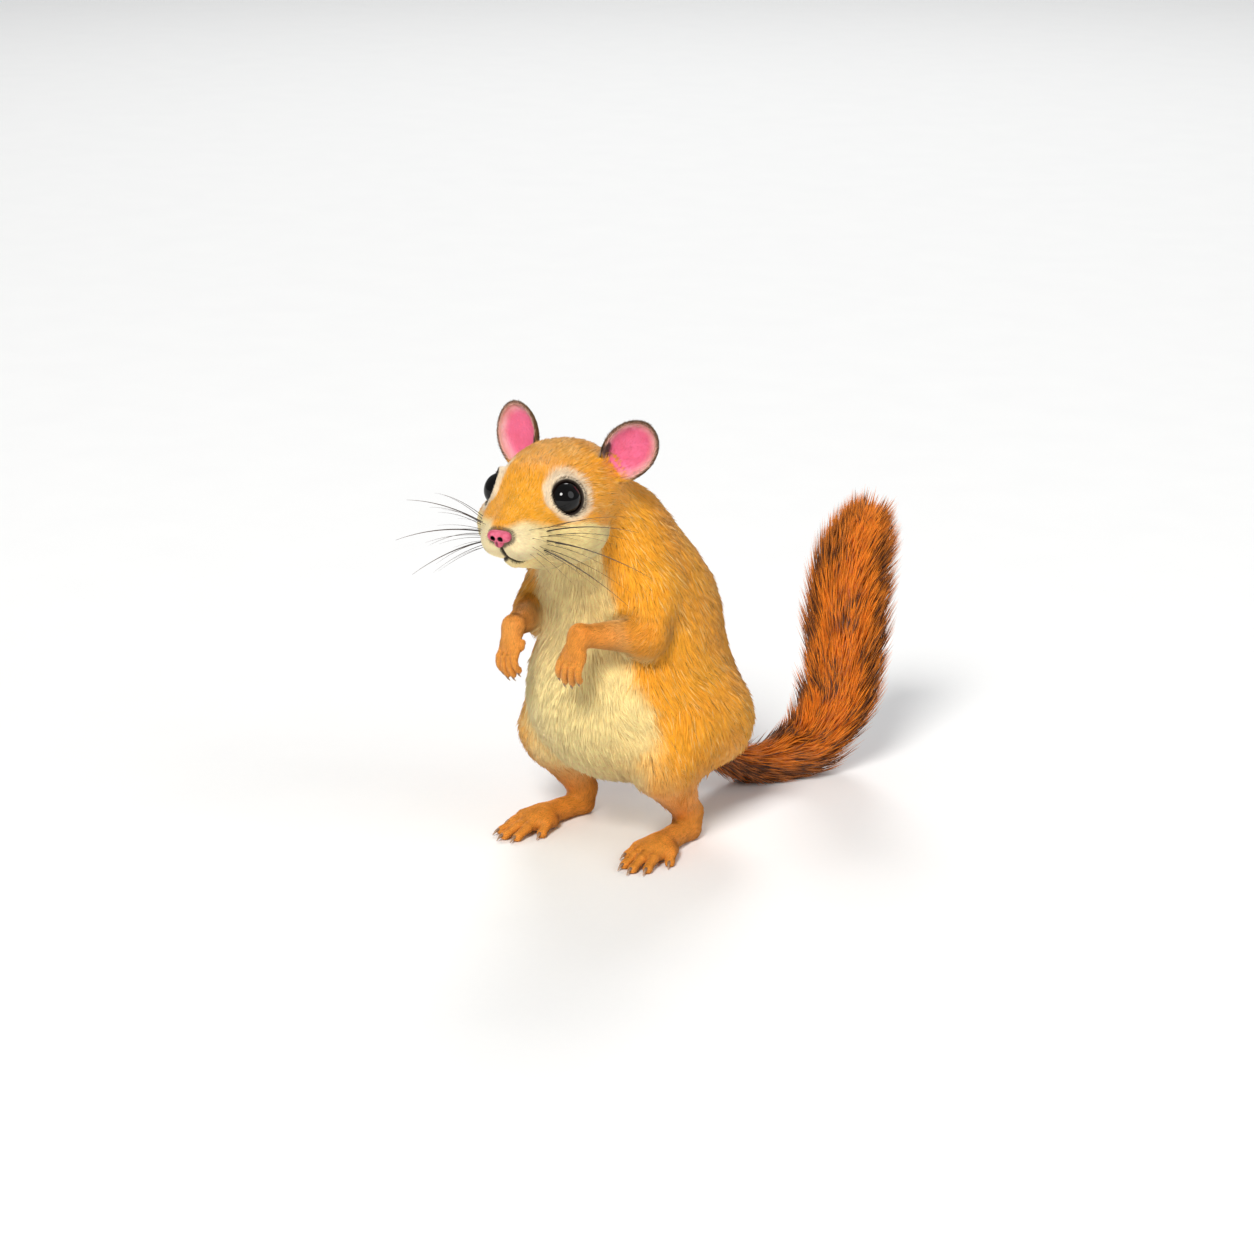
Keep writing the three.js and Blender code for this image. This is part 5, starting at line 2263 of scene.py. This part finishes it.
    def build(self, figure: Figure) -> list[bpy.types.Object]:
        """Makes the coat's pieces.

        Args:
            figure: Takes the points to the solids' frame.

        Returns:
            The new objects.
        """
        made = []
        for name, (chosen, slot) in self.pieces().items():
            piece = self.tufts.only(chosen).sheet().build(name, figure, [FurFinish()])
            log.info("%s: %d tufts", name, int(chosen.sum()))
            made.append(piece)
        return made


@dataclass(frozen=True)
class Layer:
    """One layer of the tail's hair.

    The tips reach from the least to the greatest spread, as shares of the brush's radius.
    long is a share of the tail's own lengths of hair, and width a lock's where it is broadest.
    """

    name: str
    count: int
    seed: int
    spread: tuple[float, float]
    long: float
    width: float
    banded: bool


@dataclass
class Brush:
    """The tail's long hair, in slim locks that lie along it and spread towards its end.

    Where two numbers are given, they are the least and the greatest of what is drawn. The
    end_ values are what is left of a lock's length and spread at the tail's end. Dark locks
    lie along both edges of the tail, round the angle dark_middle and opposite it.
    """

    tail: Tail
    layers: tuple[Layer, ...] = (
        Layer("tail_under_hair", 10500, 21, (0.5, 0.86), 0.9, 0.46, banded=False),
        Layer("tail_outer_hair", 11000, 22, (0.68, 1.15), 1.04, 0.4, banded=True),
    )
    sections: tuple[float, ...] = (0.0, 0.34, 0.66)
    widths: tuple[float, ...] = (0.75, 1.0, 0.66, 0.0)
    # root: painted shade, the tint that darkens each lock's base deep in the brush
    root: Point = (0.86, 0.74, 0.6)
    thinnest: float = 0.35
    lengths_vary: tuple[float, float] = (0.75, 1.15)
    widths_vary: tuple[float, float] = (0.7, 1.25)
    swing: float = 0.16
    clumps_along: float = 46
    clumps_round: float = 2.3
    clump_pull: float = 0.6
    end_length: float = 0.66
    end_spread: float = 0.5
    sunk: float = 0.5
    dark_middle: float = 1.0
    dark_shares: tuple[float, float] = (0.06, 0.8)
    bright_tips: float = 0.85

    def locks(self, layer: Layer) -> tuple[Array, Array, Array, Array]:
        """Draws slim locks all along the tail.

        Args:
            layer: The layer that they make up.

        Returns:
            The vertices lock by lock, how far along the lock each lies, each lock's root
            on the tail, as the share of the length and the angle, and how proud it stands.
        """
        tail, draw = self.tail, np.random.default_rng(layer.seed)
        u = draw.uniform(0, 1, layer.count * 3)
        thick = self.thinnest + (1 - self.thinnest) * tail.fullness(u * tail.core_end)
        keep = draw.uniform(0, 1, layer.count * 3) < thick
        u = u[keep][:layer.count] * tail.core_end
        count = len(u)
        angle = draw.uniform(0, 2 * math.pi, count)
        full = tail.fullness(u)
        length = layer.long * mix(*tail.lengths, full) * draw.uniform(*self.lengths_vary, count)
        length = length / tail.span
        near_tip = smoothstep(u, 0.8, tail.core_end)
        swing = draw.normal(0, self.swing, count)
        along = np.floor(u * self.clumps_along + draw.uniform(0, 0.3, count))
        _, lock = np.unique(along * 31 + np.floor(angle * self.clumps_round), return_inverse=True)
        lock = lock.ravel()
        middle = np.bincount(lock, angle) / np.bincount(lock)
        pull = self.clump_pull * (middle[lock] - angle)
        proud = draw.uniform(0, 1, lock.max() + 1)[lock]
        out = mix(*layer.spread, np.clip(proud + draw.normal(0, 0.16, count), 0, 1))
        out = out * mix(1, self.end_spread, near_tip * draw.uniform(0, 1, count) ** 3)
        length = length * mix(0.9, 1.1, proud) * mix(1, self.end_length, near_tip)
        high = tail.radius(u + length) * out
        low = tail.core(u) - self.sunk
        rows = []
        for v in (*self.sections, 1.0):
            turn = angle + (swing + pull) * v
            rise = low + (high - low) * v ** mix(0.85, 0.8, full)
            rows.append(tail.at(u + length * v, turn, np.maximum(rise, 0.05)))
        straight = tail.at(u, angle, tail.core(u) + 1) - tail.at(u, angle, tail.core(u))
        points = self.bodied(np.stack(rows, 1), straight, layer.width, draw)
        along = np.array([*np.repeat(self.sections, 3), 1.0])
        return points, along, np.stack([u, angle], 1), proud

    def bodied(self, lines: Array, straight: Array, width: float,
               draw: np.random.Generator) -> Array:
        """The vertices round the locks' lines: three at each section, and one at the tip.

        Args:
            lines: The points of each line, lines by points by three.
            straight: The way out of the tail at each lock.
            width: Of a lock where it is broadest.
            draw: Varies the widths, and how far the lowest locks keep off the floor.

        Returns:
            Ten vertices for each lock.
        """
        count = len(lines)
        ahead = unit(np.gradient(lines, axis=1))
        side = unit(np.cross(straight[:, None], ahead))
        over = np.cross(ahead, side)
        broad = np.array(self.widths)[None, :, None] * width / 2
        broad = broad * draw.uniform(*self.widths_vary, count)[:, None, None]
        rings = np.stack([lines - side * broad, lines + over * broad, lines + side * broad], 2)
        points = np.concatenate([rings[:, :3].reshape(count, 9, 3), lines[:, 3:]], 1)
        floor = 0.06 + 0.25 * draw.uniform(0, 1, (count, 1))
        points[:, :, 2] = np.maximum(points[:, :, 2], floor)
        return points

    def sheet(self, points: Array, along: Array, spots: Array, colours: Array,
              shade: Array) -> Sheet:
        """The closed three-sided locks as one mesh.

        Args:
            points: The vertices, lock by lock.
            along: How far along a lock each of its vertices lies.
            spots: Each lock's root: the share of the length and the angle.
            colours: A colour for each vertex.
            shade: A number for each lock.

        Returns:
            One sheet that holds all of them.
        """
        many = len(points)
        faces = [(0, 1, 2)]
        for j in range(3):
            k = (j + 1) % 3
            for row in (0, 3):
                faces += [(row + j, row + 3 + k, row + k), (row + j, row + 3 + j, row + 3 + k)]
            faces.append((6 + j, 9, 6 + k))
        one = np.array(faces)[:, ::-1]
        whole = (one[None] + 10 * np.arange(many)[:, None, None]).reshape(-1, 3)
        place = np.stack([spots[:, 1] / (2 * math.pi), 0.04 + 0.92 * spots[:, 0]], 1)
        patch = np.stack([np.tile([-0.5, 0, 0.5], 4)[:10], along - 0.5], 1) * 0.003
        patch[9, 0] = 0
        return Sheet(
            points.reshape(-1, 3),
            whole,
            numbers={"along": np.tile(along, many), "shade": np.repeat(shade, 10)},
            colours=colours.reshape(-1, 3),
            spots=(place[:, None] + patch).reshape(-1, 2),
        )

    def build(self, figure: Figure) -> list[bpy.types.Object]:
        """Makes the soft rusty under-hair, and over it the dark and orange-tipped hair.

        Args:
            figure: Takes the points to the solids' frame.

        Returns:
            The new objects.
        """
        draw = np.random.default_rng(SEED + 1)
        made = []
        for layer in self.layers:
            points, along, roots, proud = self.locks(layer)
            colours = np.tile(PALETTE.rust, (*points.shape[:2], 1))
            if layer.banded:
                colours = self.bands(colours, along, roots[:, 1], proud, draw)
            sheet = self.sheet(points, along, roots, colours, draw.uniform(0, 1, len(points)))
            piece = sheet.build(layer.name, figure, [FurFinish("tail_fur", root=self.root)])
            made.append(piece)
        return made

    def bands(self, colours: Array, along: Array, angle: Array, proud: Array,
              draw: np.random.Generator) -> Array:
        """The locks' colours with bright tips, and with dark bands on most along both edges.

        Args:
            colours: What they are without.
            along: How far along a lock each of its vertices lies.
            angle: Where each lock is rooted round the tail.
            proud: How proud each lock stands.
            draw: Picks the locks.

        Returns:
            Their colours, lock by lock and vertex by vertex.
        """
        edge = np.cos(angle - self.dark_middle) ** 2
        picked = 1 - proud + draw.normal(0, 0.16, len(angle))
        dark = (picked < mix(*self.dark_shares, edge))[:, None] * smoothstep(along, 0.25, 0.6)
        tipped = (draw.uniform(0, 1, len(angle)) < self.bright_tips)[:, None]
        dark = dark * (1 - smoothstep(along, 0.7, 1.0) * tipped)
        glow = smoothstep(along, 0.3, 1.0) * mix(0.35, 1, edge)[:, None]
        bright = mix(colours, np.array(PALETTE.flame), glow[:, :, None])
        return mix(bright, np.array(PALETTE.sable), 0.95 * dark[:, :, None])


@dataclass(frozen=True)
class Whisker:
    """Where a whisker is rooted on its pad, and how it leaves it.

    above and behind are measured from the pad's middle, rise and back are how far it leans.
    """

    above: float
    behind: float
    rise: float
    back: float
    long: float
    radius: float


@dataclass
class Whiskers:
    """Long dark hairs in rows on both sides of the muzzle, and finer ones among them."""

    head: Head
    flesh: Flesh
    longest: tuple[Whisker, ...] = (
        Whisker(2, 0, 0.32, 0.12, 23, 0.17),
        Whisker(0, 0, -0.02, 0.12, 25, 0.18),
        Whisker(-2, 0, -0.31, 0.12, 22, 0.17),
    )
    rows: tuple[float, ...] = (2.6, 1.1, -0.9, -2.6)
    columns: int = 4
    sag: float = 0.22
    points: int = 15
    sides: int = 6

    def finer(self, draw: np.random.Generator) -> list[Whisker]:
        """The short whiskers ahead and the fine long ones behind, row by row.

        Args:
            draw: Varies them.

        Returns:
            The whiskers.
        """
        made = []
        for above in self.rows:
            for column in range(self.columns):
                behind = column / (self.columns - 1)
                made.append(Whisker(
                    above + draw.normal(0, 0.12),
                    mix(-3.4, 2.2, behind),
                    0.06 + 0.15 * above + draw.normal(0, 0.05),
                    mix(-0.34, 0.34, behind) + draw.normal(0, 0.05),
                    mix(7, 19, behind**0.8) * draw.uniform(0.9, 1.1),
                    mix(0.055, 0.09, behind),
                ))
        return made

    def line(self, side: Side, hair: Whisker) -> Array:
        """A whisker's line, in the animal's frame.

        Args:
            side: Which side it is on.
            hair: The whisker.

        Returns:
            The line's points.
        """
        core = self.head.place.out((0, -17 + hair.behind, -5 + hair.above))
        way = unit(self.head.place.aim(side.mirror((1, -0.18, 0.06))))
        root = self.flesh.cast(core, way[None])[0]
        ahead = unit(self.head.place.aim(side.mirror((1, hair.back, hair.rise))))
        t = np.linspace(0, 1, self.points)[:, None]
        sunk = 0.5
        drop = np.array((0, 0, self.sag * hair.long)) * t**2
        return root - ahead * sunk + ahead * (hair.long + sunk) * t - drop

    def build(self, figure: Figure) -> bpy.types.Object:
        """Makes all of the whiskers as one piece.

        Args:
            figure: Takes the points to the solids' frame.

        Returns:
            The new object.
        """
        draw = np.random.default_rng(SEED + 2)
        lines, radii = [], []
        for side in Side:
            for hair in [*self.longest, *self.finer(draw)]:
                lines.append(self.line(side, hair))
                radii.append(hair.radius)
        taper = 1 - 0.84 * np.linspace(0, 1, self.points) ** 1.3
        sheet = tube_sheet(np.array(lines), np.array(radii)[:, None] * taper, self.sides)
        piece = sheet.build("whiskers", figure, [WhiskerFinish()])
        return piece


def claw_piece(name: str, legs: Sequence[Foreleg | HindLeg], thick: float,
               figure: Figure) -> bpy.types.Object:
    """The claws of a pair of feet as one piece.

    Args:
        name: The piece's name.
        legs: Both legs.
        thick: A claw's radius at its root.
        figure: Takes the points to the solids' frame.

    Returns:
        The new object.
    """
    lines = np.concatenate([leg.claws() for leg in legs])
    taper = thick * (1 - 0.86 * np.linspace(0, 1, lines.shape[1]) ** 1.2)
    sheet = tube_sheet(lines, np.tile(taper, (len(lines), 1)), 10)
    piece = sheet.build(name, figure, [HornFinish()])
    return piece


@dataclass(frozen=True)
class Lamp:
    """A round soft light: its power in watts, its size in metres, and where it stands.

    spot is its azimuth and elevation in degrees and its distance in millimetres.
    """

    name: str
    power: float
    size: float
    spot: tuple[float, float, float]
    tint: Point = (1, 1, 1)


@dataclass
class Studio:
    """A pale floor, soft lights and the camera."""

    azimuth: float = 38
    elevation: float = 18
    lens: float = 85
    distance: float = 713
    aim: Point = (0, 0, 52)
    floor_half: float = 4000
    lamps: tuple[Lamp, ...] = (
        Lamp("key", 55, 0.78, (22, 43, 2600), (1, 0.985, 0.96)),
        Lamp("fill", 13, 1.6, (100, 30, 2400), (0.96, 0.98, 1)),
        Lamp("back", 20, 1.0, (215, 44, 2400)),
    )
    sky: tuple[float, ...] = (0.95, 0.97, 1, 1)
    sky_strength: float = 0.3
    clip: tuple[float, float] = (0.01, 20)

    def spot(self, azimuth: float, elevation: float, distance: float) -> Array:
        """A point round the animal, by its direction and distance from the camera's aim.

        Args:
            azimuth, elevation: In degrees.
            distance: In millimetres.

        Returns:
            The point.
        """
        a, e = math.radians(azimuth), math.radians(elevation)
        way = np.array([math.sin(a) * math.cos(e), -math.cos(a) * math.cos(e), math.sin(e)])
        return np.array(self.aim) + way * distance

    def look_at(self, thing: bpy.types.Object, place: Array, figure: Figure) -> None:
        """Sets a light or the camera in its place, turned to the animal.

        Args:
            thing: The light's or the camera's object.
            place: Where it goes.
            figure: Takes the points to the solids' frame.
        """
        here, target = figure.metres(place), figure.metres(np.array(self.aim))
        thing.location = Vector(here)
        thing.rotation_mode = "QUATERNION"
        thing.rotation_quaternion = Vector(target - here).to_track_quat("-Z", "Y")
        bpy.context.scene.collection.objects.link(thing)

    def light(self, lamp: Lamp, figure: Figure) -> None:
        """Sets up one lamp.

        Args:
            lamp: What it is like.
            figure: Takes the points to the solids' frame.
        """
        light = bpy.data.lights.new(lamp.name, "AREA")
        light.energy = lamp.power
        light.shape = "DISK"
        light.size = lamp.size
        light.color = lamp.tint
        self.look_at(bpy.data.objects.new(lamp.name, light), self.spot(*lamp.spot), figure)

    def build(self, figure: Figure) -> None:
        """Makes the floor, the lights, the world and the camera.

        Args:
            figure: Takes the points to the solids' frame.
        """
        corners = np.array([(-1, -1, 0), (1, -1, 0), (1, 1, 0), (-1, 1, 0)]) * self.floor_half
        mesh = bpy.data.meshes.new("floor")
        mesh.from_pydata(figure.metres(corners).tolist(), [], [(0, 1, 2, 3)])
        mesh.materials.append(FloorFinish().material())
        floor = bpy.data.objects.new("floor", mesh)
        bpy.context.scene.collection.objects.link(floor)
        for lamp in self.lamps:
            self.light(lamp, figure)
        world = bpy.data.worlds.new("studio")
        world.use_nodes = True
        world.node_tree.nodes["Background"].inputs["Color"].default_value = self.sky
        world.node_tree.nodes["Background"].inputs["Strength"].default_value = self.sky_strength
        bpy.context.scene.world = world
        bpy.context.scene.view_settings.view_transform = "Standard"
        camera = bpy.data.cameras.new("camera")
        camera.lens = self.lens
        camera.clip_start, camera.clip_end = self.clip
        holder = bpy.data.objects.new("camera", camera)
        self.look_at(holder, self.spot(self.azimuth, self.elevation, self.distance), figure)
        bpy.context.scene.camera = holder


def main() -> None:
    """Builds the animal piece by piece, then the studio round it."""
    logging.basicConfig(level=logging.INFO, format="%(relativeCreated)6d ms %(message)s")
    trunk, head, tail = Trunk(), Head(), Tail()
    ears = [Ear(side, head) for side in Side]
    forelegs = [Foreleg(side) for side in Side]
    hind_legs = [HindLeg(side) for side in Side]
    figure = Figure(head.eye_centre(Side.LEFT))
    parts = [trunk, head, *ears, *forelegs, *hind_legs, tail]
    flesh = Flesh([region for part in parts for region in part.regions()], head.sockets())
    mouth = head.mouth(flesh)
    flesh.cuts += mouth
    markings = Markings(trunk, head, ears, mouth, [region.name for region in flesh.regions])
    log.info("flesh: %d regions", len(flesh.regions))
    skin = Skin(flesh, markings)
    skin.build(figure)
    log.info("skin: %d vertices", len(skin.sheet.points))
    head.nose(figure)
    for side in Side:
        head.eye(side, figure)
    log.info("nose and eyes")
    claw_piece("claws_fore", forelegs, 0.44, figure)
    claw_piece("claws_hind", hind_legs, 0.6, figure)
    log.info("claws")
    Coat(skin, markings).build(figure)
    log.info("coat")
    Brush(tail).build(figure)
    log.info("tail's brush")
    Whiskers(head, flesh).build(figure)
    log.info("whiskers")
    Studio().build(figure)


if __name__ == "__main__":
    main()
